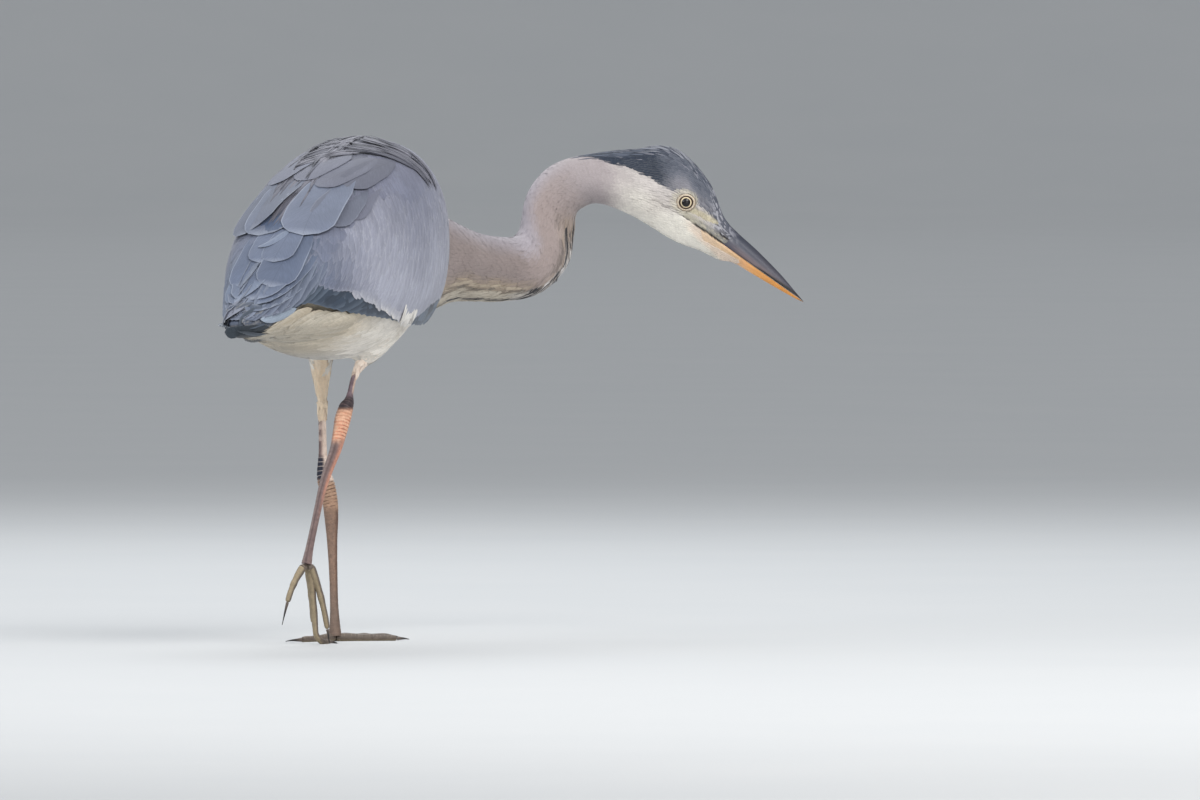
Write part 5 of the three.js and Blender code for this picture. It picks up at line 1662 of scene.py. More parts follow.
th = Coat("coat_thighs", "plumage_leg", FINE)
for side, table in (("left", LEFT), ("right", RIGHT)):
    e = FEATHERED[side]
    at = rows(table)
    point = lambda t, w: limbAt(table, t, w, thigh_swell(side)(t))[0]
    t, w = scatter_loft(point, 0.2, e + 0.15, lambda t: 0.0034 - 0.0010 * smooth(e - 2.5, e, t), stretch=1.3)
    P, O, along = limbAt(table, t, w, thigh_swell(side)(t))
    n = len(t)
    gut = bvh_of(joined([body_part] + [leg_parts[0 if side == "left" else 5]]))
    P0 = P
    P, N = nearest(gut, P)
    near_skin = ((N * O).sum(-1) > 0.3) & (np.linalg.norm(P - P0, axis=-1) < 0.0022)
    P, N, along, t, w = P[near_skin], N[near_skin], along[near_skin], t[near_skin], w[near_skin]
    n = len(t)
    L = rand(n, 0.017, 0.023) * (1 - 0.35 * smooth(e - 1.2, e, t))
    C, T, M = lay(gut, P, along, L, T5, bend=0.7, up=N)
    warm = lin(238, 218, 192) if side == "left" else lin(250, 236, 224)
    n1 = noise(P, 60, 7)
    base = mix(warm, lin(216, 190, 158) if side == "left" else lin(250, 222, 198), n1 * 0.7)
    base = mix(base, lin(196, 160, 140), smooth(e - 1.3, e, t) * 0.4)
    base = mix(base, belly_colour(P), smooth(2.0, 0.5, t))
    depth = 1.9 * (1 - smooth(e - 2.4, e + 0.1, t)) + 0.45
    th.add(C, T, M, L, rand(n, 0.0044, 0.0056), T5, np.stack([0.05 + 0.9 * (t / e) * 0.45 + (0.5 if side == "left" else 0), w / TAU], -1), base, shape="soft", sec=4,
           thick=0.15, lift=(0.15, depth), rough=0.1, camber=0.16, dip=0.3, edge=mix(base, lin(226, 214, 198), np.full(n, 0.3)), edge_at=0.4,
           root_dark=1.0, vary=0.04)
th.build()

# ---- neck ----------------------------------------------------------------------------------------
throat = bvh_of(joined([neck_loft(0.0, 6.2, 90, 96, lambda t: neck_coat(t)), head_part]))


def neck_uv(t, th):
    return np.stack([t / 20.0, (th / TAU) % 1], -1)


def neck_point(t, th):
    return neckAt(t, th, neck_coat(t))


def back_along(t, th):
    return unit(neckAt(t - 0.08, th, neck_coat(t)) - neckAt(t + 0.08, th, neck_coat(t)))


t, tht = scatter_loft(neck_point, 0.6, 13.6, lambda t: 0.0033 - 0.0007 * smooth(8, 13, t), stretch=1.45)
P = neck_point(t, tht)
D = back_along(t, tht)
P, N = nearest(throat, P)
L = rand(len(t), 0.019, 0.026) * (1 - 0.35 * smooth(8, 13, t))
w1, w2 = noise(P, 110, 21), noise(P * np.array([1, 1, 1]), 60, 22)
C, T, M = lay(throat, P, D, L, T5, bend=0.7, up=N)
base = neck_colour(t, tht, w1, w2)
u, d, z = unswung(P)
crown = smooth(10.9, 12.0, t)
base = mix(base, head_colour(u, d, z, w1), crown)
half = len(t) // 2
for name, keep in (("coat_neck_lower", t < 6.4), ("coat_neck_upper", t >= 6.4)):
    nk = Coat(name, "plumage_neck", FINE)
    K = keep.sum()
    nk.add(C[keep], T[keep], M[keep], L[keep], rand(K, 0.0046, 0.0060), T5, neck_uv(t[keep], tht[keep]), base[keep], shape="soft", sec=4,
           thick=0.13, lift=(0.15, 1.75 * (1 - 0.35 * smooth(11, 13.6, t[keep]))), rough=0.1, camber=0.14, dip=0.25,
           edge=mix(base[keep], np.array([0.62, 0.6, 0.6]), np.full(K, 0.04)), edge_at=0.4, root_dark=1.0, vary=0.03)
    nk.build()

# lanceolate streaked plumes down the front of the neck
fn = Coat("coat_foreneck", "plumage_neck", FINE)
n = 1100
t = rng.random(n) ** 0.9 * 8.2 + 1.0
tht = math.pi + np.clip(rng.normal(0, 0.55, n), -1.25, 1.25)
P = neck_point(t, tht)
P, N = nearest(throat, P)
L = rand(n, 0.026, 0.042) * (1 - 0.35 * smooth(6.5, 9.0, t))
C, T, M = lay(throat, P, back_along(t, tht), L, T6, bend=0.6, up=N)
base = foreneck(t, (tht % TAU) - math.pi, neck_colour(t, tht, noise(P, 110, 21), noise(P, 60, 22)))
fn.add(C, T, M, L, rand(n, 0.0026, 0.0038), T6, neck_uv(t, tht), base, shape="lance", sec=4, thick=0.16, lift=(0.5, rand(n, 1.6, 2.3)), camber=0.25,
       root_dark=1.0, vary=0.05, tip=base, edge=mix(base, lin(120, 112, 106), np.full(n, 0.15)), edge_at=0.6)
fn.build()

# ---- head ------------------------------------------------------------------------------------------
def head_seed(t0, t1, spacing, stretch):
    t, th = scatter_loft(neck_point, t0, t1, spacing, stretch)
    P = head_points(t, th)
    return t, th, P


t, tht, P = head_seed(13.2, 20.4, lambda t: 0.0026 - 0.0007 * smooth(14.5, 17, t), 1.45)
u, d, z = unswung(P)
far = np.abs(d - EYE_D)
rho = np.hypot((u - EYE_U) / 1.04, (z - EYE_Z) / 0.97)
bare = (bare_lores(u, z) > 0.35) & (far > 5)
bare |= (bare_jaw(u, z) > 0.4) & (far > 3.0)
bare |= (rho < 9.0) & (far > 6)
bare |= (np.abs(z - gapeLine(u)) < 1.5) & (u > 442.5) & (far > 5)
around = np.abs((tht + math.pi) % TAU - math.pi)
bare |= t > np.interp(around, [0, 0.5, 0.9, 1.3, 1.7, 2.2, 3.2], [19.5, 19.6, 19.5, 19.3, 19.3, 20.2, 20.35])
keep = ~bare
t, tht, P, u, d, z, far, rho = [v[keep] for v in (t, tht, P, u, d, z, far, rho)]
n = len(t)
D = back_along(t, tht)
# feathers part round the eye and run back over the cheek
to_eye = swung(u, d, z) - swung(np.full(n, EYE_U), d, np.full(n, EYE_Z))
away = unit(to_eye)
turn = gauss(rho - 10.5, 3.2) * (far > 6)
toward = (D * -away).sum(-1)
D = unit(D + away * (turn * np.clip(toward, 0, 1) * 1.3)[:, None])
P, N = nearest(throat, P)
size = smooth(19.0, 15.0, t)
near_eye = gauss(rho - 9.5, 5.0)
L = (0.0042 + 0.0048 * size) * rand(n, 0.85, 1.15) * (1 - 0.35 * near_eye)
top = smooth(0.2, 0.9, np.cos(tht)) * smooth(13.0, 14.5, t)
L = L * (1 + 0.5 * top)
W = L * rand(n, 0.26, 0.34)
C, T, M = lay(throat, P, D, L, T5, bend=0.7, up=N)
wob = noise(P, 900, 31)
base = head_colour(u, d, z, 0.5 * wob + 0.5 * noise(P, 300, 32))
low = 1.0 - 0.55 * smooth(17.5, 19.2, t)
for name, keep in (("coat_head_right", d < EYE_D), ("coat_head_left", d >= EYE_D)):
    hd = Coat(name, "plumage_head", FINE)
    K = keep.sum()
    hd.add(C[keep], T[keep], M[keep], L[keep], W[keep], T5, neck_uv(t[keep], tht[keep]), base[keep], shape="soft", sec=4, thick=0.14,
           lift=(0.12, low[keep]), rough=0.08, camber=0.14, dip=0.15, edge=mix(base[keep], np.array([0.7, 0.7, 0.7]), np.full(K, 0.08)), edge_at=0.4,
           root_dark=1.0, vary=0.05)
    hd.build()

# the crest: narrow dark plumes lying back from the hind crown
cr = Coat("coat_crest", "plumage_head", FINE)
n = 90
t = rand(n, 12.3, 16.2)
tht = rand(n, -0.62, 0.62) * np.interp(t, [12.3, 14, 16.2], [1.0, 1.0, 0.8])
P = neckAt(t, tht, neck_coat(t))
P, N = nearest(throat, P)
D = back_along(t, tht)
L = rand(n, 0.022, 0.036) * (1 - 0.25 * smooth(15, 16.2, t))
C, T, M = lay(throat, P, D, L, T6, bend=0.55, up=N)
u, d, z = unswung(P)
base = mix(lin(60, 68, 82), lin(84, 90, 104), rand(n, 0, 1))
base = mix(base, lin(150, 152, 160), (rng.random(n) > 0.8) * smooth(14.4, 15.6, t) * 0.8)
cr.add(C, T, M, L, rand(n, 0.0016, 0.0028), T6, neck_uv(t, tht), base, shape="lance", sec=4, thick=0.2, lift=(0.3, 1.5), camber=0.1,
       edge=mix(base, lin(120, 124, 136), np.full(n, 0.3)), edge_at=0.5, root_dark=0.9)
# streaks of lighter and darker feathers over the crown, down to the bill
n = 300
t = rand(n, 13.2, 18.2)
tht = rand(n, -0.75, 0.75)
P, N = nearest(throat, neckAt(t, tht, neck_coat(t)))
L = rand(n, 0.010, 0.022) * (1 - 0.35 * smooth(15.5, 18, t))
C, T, M = lay(throat, P, back_along(t, tht), L, T6, bend=0.6, up=N)
u, d, z = unswung(P)
base = head_colour(u, d, z, noise(P, 900, 31))
ink = rng.random(n)[:, None]
base = np.where(ink > 0.62, mix(base, lin(150, 150, 160), np.full(n, 0.55)), mix(base, lin(54, 60, 74), np.full(n, 0.55)))
cr.add(C, T, M, L, rand(n, 0.0011, 0.0019), T6, neck_uv(t, tht), base, shape="lance", sec=4, thick=0.16, lift=(0.25, rand(n, 0.9, 1.5)), camber=0.1, root_dark=1.0)
# loose hairs on the very top, pale as painted highlight along the crown's top edge
n = 34
t = rand(n, 14.6, 16.8)
tht = rand(n, -0.5, 0.5)
P, N = nearest(throat, neckAt(t, tht, neck_coat(t)))
L = rand(n, 0.012, 0.02)
C, T, M = lay(throat, P, back_along(t, tht), L, T6, bend=0.4, up=N)
cr.add(C, T, M, L, rand(n, 0.0012, 0.002), T6, neck_uv(t, tht), mix(lin(150, 152, 160), lin(118, 122, 134), rand(n, 0, 1)), shape="hair", sec=4,
       thick=0.18, lift=(0.6, 2.4), camber=0.1, root_dark=0.9)
cr.build()


# ---- one skin for all the flesh -----------------------------------------------------------
lids = [lid_ring(-1), lid_ring(1)]
skin = object_from(mesh_from("skin", *body_part), SKIN)
for k, part in enumerate([head_part] + leg_parts + lids):
    tool = object_from(mesh_from("tool", *part))
    mod = skin.modifiers.new("join", "BOOLEAN")
    mod.operation = "UNION"
    mod.solver = "MANIFOLD"
    mod.object = tool
    apply_modifiers(skin)
    bpy.data.objects.remove(tool)
mod = skin.modifiers.new("triangles", "TRIANGULATE")
apply_modifiers(skin)
skin.data.validate()
skin.data.polygons.foreach_set("use_smooth", np.full(len(skin.data.polygons), True))
print("skin triangles", sum(len(p.vertices) - 2 for p in skin.data.polygons))


def leg_colours(kind, info, p):
    k, w, arc = info.T
    z = p[:, 2] * 1000
    n1, n2 = noise(p, 420, 3), noise(p, 1500, 5)
    # from the right and behind: 1 on the side that faces there, and on the rear left edge
    right, rear = np.sin(w), -np.cos(w)
    plate = smooth(0.0, 0.12, (arc / 4.4) % 1) * smooth(1.0, 0.86, (arc / 4.4) % 1)
    fold = np.abs(((arc + 0.9 * np.sin(w)) / 3.3) % 1 - 0.5) * 2
    if kind == "left":
        edge = smooth(0.1, 0.75, np.cos(w + 2.1))
        c = mix(lin(236, 216, 202), lin(212, 190, 174), n1)
        c = mix(c, lin(146, 120, 114), smooth(-0.25, 0.35, np.cos(w + 2.1)) * 0.6 * smooth(240, 228, z))
        c = mix(c, lin(80, 60, 64), edge * 0.8 * smooth(236, 226, z) * smooth(0.3, 0.55, n1 + 0.3 * smooth(210, 190, z)))
        navy = smooth(188, 180, z) * smooth(156, 162, z) * smooth(-0.25, 0.5, np.cos(w + 2.3))
        c = mix(c, lin(28, 30, 48), navy * plate)
        c = mix(c, lin(196, 190, 186), navy * (1 - plate) * 0.6)
        joint = smooth(164, 156, z) * smooth(128, 136, z)
        c = mix(c, mix(lin(184, 150, 126), lin(150, 118, 96), n2), smooth(164, 156, z))
        c = mix(c, lin(88, 62, 50), joint * smooth(0.36, 0.12, fold) * 0.85 * smooth(0.3, 0.5, n1))
        tarsus = smooth(136, 126, z)
        c = mix(c, mix(lin(158, 126, 104), lin(126, 102, 88), n1), tarsus)
        c = mix(c, lin(84, 62, 50), tarsus * smooth(0.66, 0.8, n2) * 0.7)
        c = mix(c, lin(92, 68, 58), tarsus * 0.75 * smooth(0.75, 1.0, right))
        c = mix(c, lin(126, 104, 92), tarsus * 0.5 * smooth(0.3, 0.9, rear) * plate)
        return mix(c, lin(116, 100, 90), smooth(70, 20, z) * 0.7)
    if kind == "right":
        c = mix(lin(132, 114, 122), lin(98, 80, 88), n1)
        c = mix(c, lin(206, 178, 162), smooth(0.1, 0.7, np.cos(w - 0.9)) * smooth(246, 252, z))
        c = mix(c, lin(222, 190, 168), smooth(264, 272, z))
        top = smooth(248, 243, z) * smooth(229, 234, z)
        c = mix(c, mix(lin(52, 42, 46), lin(122, 100, 100), smooth(0.5, 0.2, plate + 0.4 * n2)), top * 0.95)
        joint = smooth(236, 230, z) * smooth(196, 208, z)
        c = mix(c, mix(lin(230, 186, 156), lin(208, 152, 124), n1), smooth(236, 230, z))
        some = smooth(0.38, 0.55, noise(np.stack([z * 0.16, np.sin(w) * 0.6, np.cos(w) * 0.6], -1), 1.0, 77))
        c = mix(c, lin(206, 122, 92), joint * smooth(0.5, 0.25, fold) * some * 0.75 * smooth(228, 220, z))
        c = mix(c, lin(104, 58, 48), joint * smooth(0.2, 0.05, fold) * some * smooth(-0.1, 0.7, right) * 0.9 * smooth(226, 216, z))
        c = mix(c, lin(150, 122, 108), joint * smooth(0.2, 0.9, -right) * 0.8)
        tarsus = smooth(206, 196, z)
        c = mix(c, mix(lin(136, 114, 110), lin(112, 92, 90), n1), tarsus)
        c = mix(c, mix(lin(214, 150, 122), lin(184, 134, 118), n2), tarsus * smooth(0.0, 0.8, np.cos(w - 1.0)) * smooth(120, 165, z))
        c = mix(c, lin(84, 68, 68), tarsus * 0.8 * gauss(np.cos(w + 2.0) - 0.2, 0.25))
        c = mix(c, lin(150, 136, 132), tarsus * 0.55 * smooth(0.5, 0.95, np.cos(w + 2.2)) * plate)
        return c
    c = mix(lin(112, 100, 90), lin(88, 78, 72), n1)
    f = (arc / 3.7) % 1
    c = mix(c, lin(150, 136, 118), smooth(0.2, 0.05, f) * smooth(0.1, 0.7, np.cos(w)) * 0.6)
    return mix(c, lin(162, 146, 118), smooth(-0.3, -0.8, np.cos(w)) * 0.8)


def paint_skin():
    """The skin takes each place's colour from the coat's roots, or from the bare parts."""
    co = coords(skin.data)
    P, C, W = [], [], []
    for part, (kind, info) in zip(leg_parts, leg_info):
        P.append(part[0])
        C.append(leg_colours(kind, info, part[0]))
    hp = head_part[0]
    u, d, z = unswung(hp)
    wob = noise(hp, 700, 9)
    hc = head_colour(u, d, z, wob)
    # painted shade: the head's skin made darker than its plumage, where the coat shades it
    hc = hc * 0.86
    bare = bare_lores(u, z) * smooth(4, 8, np.abs(d - EYE_D))
    hc = mix(hc, mix(lin(206, 196, 168), lin(178, 168, 146), smooth(0.3, 0.7, wob)), bare * 0.8)
    jaw = bare_jaw(u, z) * smooth(3, 6, np.abs(d - EYE_D))
    hc = mix(hc, mix(lin(228, 200, 170), lin(222, 184, 140), smooth(470, 505, u)), jaw)
    gape = gauss(z - gapeLine(u), 0.75) * smooth(441, 444, u) * smooth(5, 8, np.abs(d - EYE_D))
    hc = mix(hc, lin(20, 20, 24), np.clip(gape * 1.4, 0, 1))
    hc = np.concatenate([hc])
    far = u > 330
    P.append(hp[far])
    C.append(hc[far])
    for lid in lids:
        lp = lid[0]
        u, d, z = unswung(lp)
        rho = np.hypot((u - EYE_U) / 1.04, (z - EYE_Z) / 0.955)
        c = mix(np.broadcast_to(lin(62, 42, 32), lp.shape), lin(208, 195, 174), smooth(6.9, 7.3, rho))
        c = mix(c, lin(104, 90, 82), smooth(8.7, 9.2, rho))
        c = mix(c, head_colour(u, d, z, noise(lp, 700, 9)) * 0.9, smooth(9.3, 9.8, rho))
        c = mix(c, mix(c, lin(170, 140, 110), 0.6), smooth(0.5, 0.8, noise(lp, 1800, 2)) * (rho > 7))
        P.append(lp)
        C.append(c)
    n_bare = sum(len(p) for p in P)
    if paint_points:
        P += [np.concatenate(paint_points)]
        # painted shade: the skin under the coat made darker than the roots it takes its colour from
        C += [np.concatenate(paint_colours) * 0.85]
    P, C = np.concatenate(P), np.concatenate(C)
    tree = KDTree(len(P))
    for k, p in enumerate(P.tolist()):
        tree.insert(p, k)
    tree.balance()
    out = np.empty((len(co), 3))
    for k, p in enumerate(co.tolist()):
        hit = tree.find(p)
        if hit[1] < n_bare and hit[2] < 0.0035:
            out[k] = C[hit[1]]
        else:
            near = tree.find_n(p, 4)
            w = np.array([1 / (h[2] + 0.002) for h in near])
            out[k] = (C[[h[1] for h in near]] * w[:, None]).sum(0) / w.sum()
    # the shoulders, where few roots lie
    s, r, z = unbird(co)
    a = where(co)[1]
    Q = nearest(hull, co)[0]
    near = smooth(0.011, 0.008, np.linalg.norm(Q - co, axis=-1))
    out = mix(out, lin(80, 88, 104), smooth(84, 70, s) * smooth(-0.02, -0.12, np.abs(a) - wingFoot(s)) * near)
    front = smooth(330, 352, s) * smooth(443, 438, s) * smooth(1.45, 1.2, np.abs(a)) * smooth(0.026, 0.02, np.linalg.norm(Q - co, axis=-1))
    out = mix(out, lin(106, 103, 112), front)
    paint(skin.data, out)


# ---- eyes, bill and claws -----------------------------------------------------------------
def bill_loft(t, upper):
    """One mandible as a closed loft: the bill's outline cut flat at the gape line."""
    n, m = len(t), 56
    half = m // 2 + 1
    P = np.zeros((n, m, 3))
    for i, tt in enumerate(t):
        th = np.linspace(-math.pi, math.pi, 241)
        inset = 0.35 + 1.1 * float(1 - smooth(18.5, 19.35, tt))
        p = neckAt(np.full(241, tt), th, inset)
        u, d, z = unswung(p)
        cut = 0.25 if upper else -0.25
        inside = (z - gapeLine(u) - cut) * (1 if upper else -1)
        th2 = np.linspace(0, TAU, 721)
        p2 = neckAt(np.full(721, tt), th2, inset)
        u2, d2, z2 = unswung(p2)
        ins = (z2 - gapeLine(u2) - cut) * (1 if upper else -1)
        centre = 0.0 if upper else math.pi
        # edges of the arc above or below the gape line, each side of the crown or the keel
        rel = (th2 - centre + math.pi) % TAU - math.pi
        order = np.argsort(rel)
        rel, ins, p2 = rel[order], ins[order], p2[order]
        pos = rel[(rel > 0)]
        okp = ins[(rel > 0)] > 0
        okn = ins[(rel < 0)][::-1] > 0
        neg = rel[(rel < 0)][::-1]
        hi = pos[np.argmin(okp)] if not okp.all() else pos[-1]
        lo = neg[np.argmin(okn)] if not okn.all() else neg[-1]
        f = np.linspace(-1, 1, half)
        a = centre + np.where(f < 0, -f * lo, f * hi)
        arc = neckAt(np.full(half, tt), a, inset)
        q0, q1 = arc[-1], arc[0]
        w = np.linspace(0, 1, m - half + 2)[1:-1, None]
        P[i] = np.concatenate([arc, q0 * (1 - w) + q1 * w])
    return P


def dress_bill(P, upper):
    """Horn's own relief: the nostril's groove, the ridge of the culmen, the keel below."""
    p = P.reshape(-1, 3).copy()
    u, d, z = unswung(p)
    x = d - EYE_D
    side = np.sign(x)
    wide = np.abs(x)
    g = gapeLine(u)
    top = np.interp(u, [489, 503.5, 523, 547, 564, 570], [420, 404.4, 386.4, 362.3, 342.2, 334.8])
    if upper:
        h = (z - g) / np.maximum(top - g, 0.6)
        line = np.interp(u, [478, 489, 503, 523, 545], [0.60, 0.52, 0.45, 0.40, 0.42])
        deep = np.interp(u, [476, 484, 500, 520, 538], [0.4, 0.9, 0.8, 0.45, 0.0])
        groove = gauss(h - line, 0.11) * deep
        nostril = np.exp(-(((u - 491.5) / 5.2) ** 4)) * gauss(h - line, 0.075) * 1.3
        tomium = 0.35 * gauss(h - 0.06, 0.08) * smooth(485, 500, u) * smooth(568, 550, u)
        wide2 = np.maximum(wide - groove - nostril + tomium, 0.15 * wide)
    else:
        low = np.interp(u, [485, 498.5, 516.4, 542.6, 560.6, 570], [376.6, 373.8, 363.2, 347.8, 337.8, 333.6])
        h = (g - z) / np.maximum(g - low, 0.6)
        groove = 0.35 * gauss(h - 0.62, 0.12) * smooth(480, 492, u) * smooth(530, 510, u)
        wide2 = np.maximum(wide - groove, 0.15 * wide)
    wide2 = np.where(wide > 0.8, wide2, wide)
    return swung(u, EYE_D + side * wide2, z).reshape(P.shape), h.reshape(P.shape[:2])


def bill_colours(P, H, upper):
    u, d, z = unswung(P)
    n1, n2 = noise(P, 260, 4), noise(P, 1200, 6)
    if upper:
        c = mix(lin(52, 56, 72), lin(68, 66, 77), smooth(505, 545, u))
        c = mix(c, lin(38, 40, 52), smooth(0.6, 1.0, H) * 0.85)
        # painted highlight: a paler pinkish strip low on the side of the upper mandible
        pink = smooth(0.5, 0.12, H)
        c = mix(c, lin(116, 101, 103), pink * 0.75 * smooth(490, 510, u))
        c = mix(c, lin(96, 89, 96), pink * 0.5 * smooth(510, 480, u))
        c = mix(c, lin(150, 150, 160), 0.55 * smooth(0.5, 0.7, noise(np.stack([u * 0.3 + z * 0.15, (z + 0.6 * u) * 0.9, d * 0.4], -1), 1.0, 8)) * smooth(508, 494, u) * smooth(0.25, 0.5, H))
        # the black cutting edge towards the tip
        band = smooth(1.2, 0.5, (z - gapeLine(u)) / np.interp(u, [500, 520, 535, 555, 564, 570], [0.5, 1.6, 3.2, 4.4, 3.8, 2.0]))
        c = mix(c, lin(7, 7, 8), band * smooth(500, 524, u))
        c = mix(c, lin(30, 28, 34), smooth(556, 568, u) * 0.8)
        line = np.interp(u, [478, 489, 503, 523, 545], [0.60, 0.52, 0.45, 0.40, 0.42])
        slit = np.exp(-(((u - 491.5) / 5.2) ** 4)) * gauss(H - line, 0.07)
        c = mix(c, lin(26, 22, 26), np.clip(slit * 1.3, 0, 1))
    else:
        c = mix(lin(222, 184, 152), lin(226, 162, 94), smooth(485, 525, u))
        c = mix(c, lin(218, 146, 66), smooth(515, 548, u) * 0.8)
        c = mix(c, lin(214, 178, 150), smooth(0.55, 0.9, H) * smooth(525, 495, u) * 0.6)
        c = mix(c, lin(150, 110, 84), 0.5 * gauss(H - 0.62, 0.10) * smooth(470, 485, u) * smooth(512, 500, u))
        c = mix(c, lin(196, 132, 64), smooth(0.7, 1.0, H) * smooth(505, 530, u) * 0.5)
        c = mix(c, lin(60, 44, 34), smooth(561, 570, u) * 0.7)
        c = mix(c, lin(34, 28, 26), smooth(0.5, 0.15, (gapeLine(u) - z)) * smooth(490, 505, u) * 0.7)
    return c * (0.94 + 0.12 * n2[..., None])


def bill_piece(name, t, upper, material, node):
    P = bill_loft(t, upper)
    P, H = dress_bill(P, upper)
    v, q, tr = outward(*tube(P))
    n, m = P.shape[:2]
    C = bill_colours(P, H, upper).reshape(-1, 3)
    C = np.concatenate([C, C[:1], C[-1:]])
    uv = np.stack([np.tile(np.arange(m) / m, n), np.repeat(np.linspace(0, 1, n), m)], -1)
    uv = np.concatenate([uv, [[0.5, 0], [0.5, 1]]])
    ob = object_from(mesh_from(name, v, q, tr, {"Vane": uv}, C), material)
    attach(ob, "root")
    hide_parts(node)
    return ob


bill_piece("bill_upper_horn", np.concatenate([np.linspace(18.35, 20.6, 64)[:-1], np.linspace(20.6, 23.97, 72)]), True, HORN_DARK, "bill_upper")
bill_piece("bill_lower_horn", np.concatenate([np.linspace(18.5, 20.6, 52)[:-1], np.linspace(20.6, 23.97, 60)]), False, HORN_YELLOW, "bill_lower")

for side, label in ((-1, "right"), (1, "left")):
    # rings about the eye's own axis, from the front pole to the back
    rings = np.concatenate([np.linspace(0, 0.95, 40), np.linspace(1.0, math.pi, 20)])[1:-1]
    a = np.arange(64) / 64 * TAU
    rho = EYE_R * 0.985 * np.sin(rings)[:, None] * np.ones(64)
    bulge = 0.35 * np.exp(-((rings / 0.48) ** 4))[:, None]
    ax = (EYE_R * 0.985 * np.cos(rings))[:, None] + bulge
    cu, cz = EYE_U + rho * np.cos(a), EYE_Z + rho * np.sin(a)
    P = swung(cu, EYE_D + side * (EYE_OUT + ax * 1.0), cz)
    front = (ax > 0)
    n = noise(P, 1700, 3)
    ray = 0.5 + 0.5 * np.sin(a * 46 + 3 * n)
    c = np.broadcast_to(lin(240, 222, 184), P.shape).copy()
    c = mix(c, lin(202, 186, 156), 0.5 * ray * smooth(4.4, 5.0, rho))
    c = mix(c, lin(160, 136, 108), smooth(5.2, 5.6, rho) * 0.8)
    c = mix(c, lin(52, 36, 28), smooth(5.6, 5.9, rho))
    c = mix(c, lin(30, 16, 10), smooth(4.6, 4.3, rho) * front)
    c = mix(c, lin(12, 8, 7), smooth(4.2, 3.6, rho) * front)
    c = np.where(front[..., None], c, lin(90, 60, 50))
    v, q, tr = outward(*tube(P))
    # the poles lie on the axis, on the surface
    v[-2] = swung(EYE_U, EYE_D + side * (EYE_OUT + EYE_R * 0.985 + 0.35), EYE_Z)
    v[-1] = swung(EYE_U, EYE_D + side * (EYE_OUT - EYE_R * 0.985), EYE_Z)
    C = np.concatenate([c.reshape(-1, 3), [lin(18, 12, 10)], [lin(90, 60, 50)]])
    ob = object_from(mesh_from("eye_ball_" + label, v, q, tr, None, C), EYE)
    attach(ob, "root")
    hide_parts("eye_" + label)

for side in ("left", "right"):
    lifted = side == "right"
    for name, turn, size, claw in TOES:
        hind = name == "hind"
        heading = TURNED_OUT + (184 if hind else -0.62 * turn) if lifted else TURNED_IN + (-172 if hind else turn)
        path = toe_path(ROOTS[side], heading, size, lifted, name)
        cp = claw_path(path, claw, not lifted)
        start = np.array(cp[0])
        start[:3] += (np.array(path[-1][:3]) - start[:3]) * 1.0
        t = np.linspace(0, len(cp) - 1, 40)

        def relief(k, w):
            return -0.10 * (0.5 + 0.5 * np.cos(w * 2)) * smooth(0, 0.5, k) - 0.05 * np.sin(k * 9) ** 2

        P, _, _ = limbAt(cp, t[:, None], np.arange(28)[None] / 28 * TAU, relief(t[:, None], np.arange(28)[None] / 28 * TAU), True)
        v, q, tr = outward(*tube(P))
        k = np.concatenate([np.repeat(t / (len(cp) - 1), 28), [0, 1]])
        C = mix(lin(96, 84, 76), lin(34, 30, 30), smooth(0.0, 0.55, k)) * (0.9 + 0.2 * noise(v, 900, 8)[:, None])
        uv = np.stack([np.concatenate([np.tile(np.arange(28) / 28, 40), [0.5, 0.5]]), k], -1)
        ob = object_from(mesh_from("claw_horn_%s_%s" % (side, name), v, q, tr, {"Vane": uv}, C), CLAW)
        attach(ob, "root")
        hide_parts("claw_%s_%s" % (side, name))

# ---- what stands for what -----------------------------------------------------------------
paint_skin()
skin.name = "skin"
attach(skin, "root")
flesh_nodes = ["trunk", "neck_lower", "neck_middle", "neck_upper", "head", "wing_left", "wing_right", "tail"]
for side in ("left", "right"):
    flesh_nodes += ["thigh_" + side, "shank_" + side, "tarsus_" + side]
    flesh_nodes += ["toe_%s_%s" % (side, t[0]) for t in TOES]
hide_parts(*flesh_nodes)
total = 0
for ob, slot, tris in coat_pieces:
    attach(ob, "root")
    total += tris
    print("%-24s %7d" % (ob.name, tris))
print("coat triangles", total)

# ---- floor, light and camera ---------------------------------------------------------------
mat, nt, bsdf = nodes_of("studio_floor")
n = noise_node(nt, object_coords(nt), 3.0, 3.0, 0.5)
grey = nt.nodes.new("ShaderNodeMix")
grey.data_type = "RGBA"
nt.links.new(n, grey.inputs[0])
grey.inputs[6].default_value = (0.50, 0.51, 0.52, 1)
grey.inputs[7].default_value = (0.53, 0.535, 0.54, 1)
nt.links.new(grey.outputs[2], bsdf.inputs["Base Color"])
bsdf.inputs["Roughness"].default_value = 0.85
verts = []
prof = [(0.0, 0.0), (2.0, 0.0), (30.0, 0.0)] + [(30.0 + 8.0 * math.sin(a), 8.0 - 8.0 * math.cos(a)) for a in np.linspace(0.12, math.pi / 2, 12)]
m = 96
for r, z in prof:
    for j in range(m):
        a = j / m * TAU
        verts.append((r * math.cos(a), r * math.sin(a), z))
quads = []
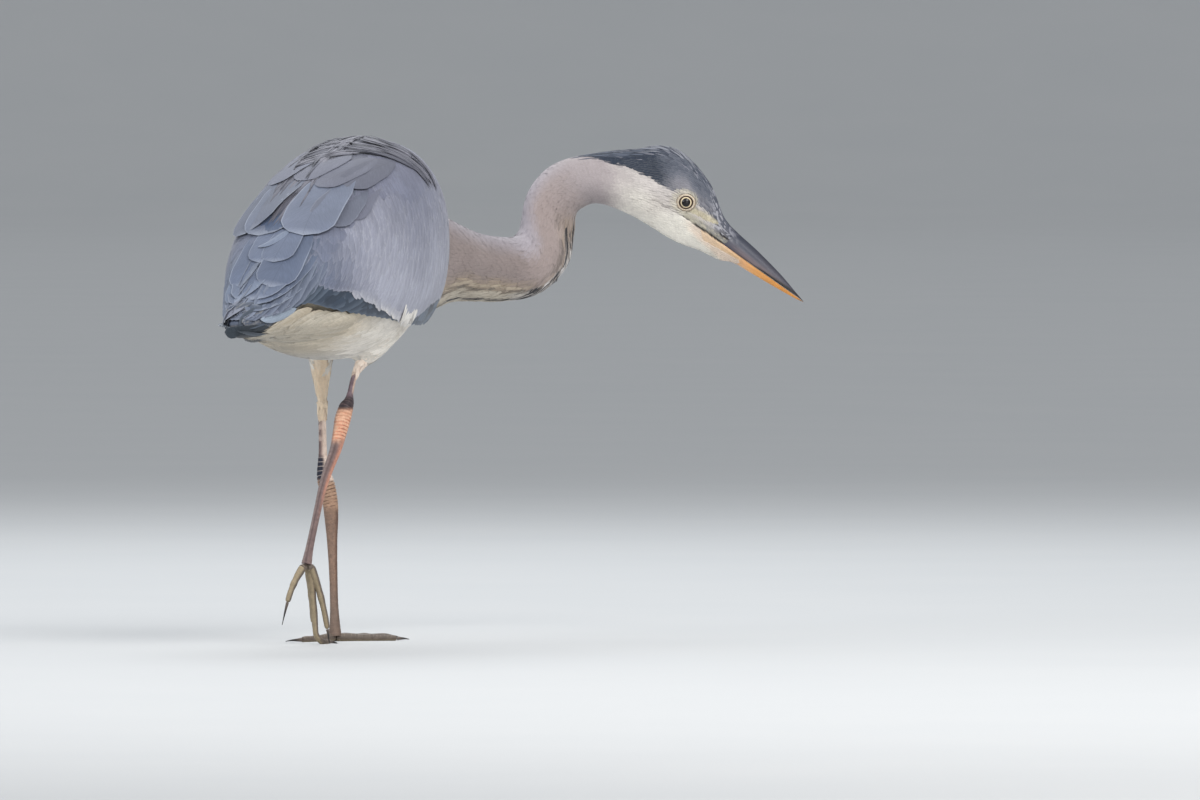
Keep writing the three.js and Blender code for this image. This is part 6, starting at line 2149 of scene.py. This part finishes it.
for i in range(len(prof) - 1):
    for j in range(m):
        quads.append((i * m + j, i * m + (j + 1) % m, (i + 1) * m + (j + 1) % m, (i + 1) * m + j))
floor = object_from(mesh_from("studio_floor", np.array(verts), quads), mat)

world = bpy.data.worlds.new("studio")
bpy.context.scene.world = world
world.use_nodes = True
bg = world.node_tree.nodes["Background"]
bg.inputs[0].default_value = (0.93, 0.965, 1.0, 1)
bg.inputs[1].default_value = 0.66


def softbox(name, azimuth, elevation, distance, size, watts, colour, aim=(0.0, 0.0, 0.40)):
    light = bpy.data.lights.new(name, "AREA")
    light.shape = "DISK"
    light.size = size
    light.energy = watts
    light.color = colour
    ob = bpy.data.objects.new(name, light)
    bpy.context.scene.collection.objects.link(ob)
    a, e = azimuth * DEG, elevation * DEG
    d = Vector((math.sin(a) * math.cos(e), -math.cos(a) * math.cos(e), math.sin(e)))
    ob.location = Vector(aim) + d * distance
    ob.rotation_euler = (-d).to_track_quat("-Z", "Y").to_euler()
    ob.visible_camera = False
    return ob


AZ, ELEV, FAR = 202.0, 1.3, 20.0
softbox("key", AZ + 34, 44, 3.6, 2.4, 92, (1.0, 0.985, 0.96))
softbox("fill", AZ - 60, 26, 4.0, 3.0, 52, (0.95, 0.975, 1.0))
softbox("back", AZ + 185, 45, 4.2, 2.5, 85, (0.95, 0.98, 1.0))
softbox("low", AZ + 20, 3, 4.5, 2.5, 28, (1.0, 0.98, 0.95))

elev = 1.3 * DEG
target = Vector(swung(364.0, 300.0, 240.0 / math.cos(elev)).tolist())
look = Vector((E_D * math.cos(elev)).tolist()) + Vector((0, 0, -math.sin(elev)))
cam = bpy.data.cameras.new("camera")
cam.sensor_width = 36.0
cam.lens = 600.0
cam.clip_end = 200.0
cam_ob = bpy.data.objects.new("camera", cam)
bpy.context.scene.collection.objects.link(cam_ob)
cam_ob.location = target - look * 20.0
cam_ob.rotation_euler = look.to_track_quat("-Z", "Y").to_euler()
bpy.context.scene.camera = cam_ob
bpy.context.scene.view_settings.view_transform = "Standard"
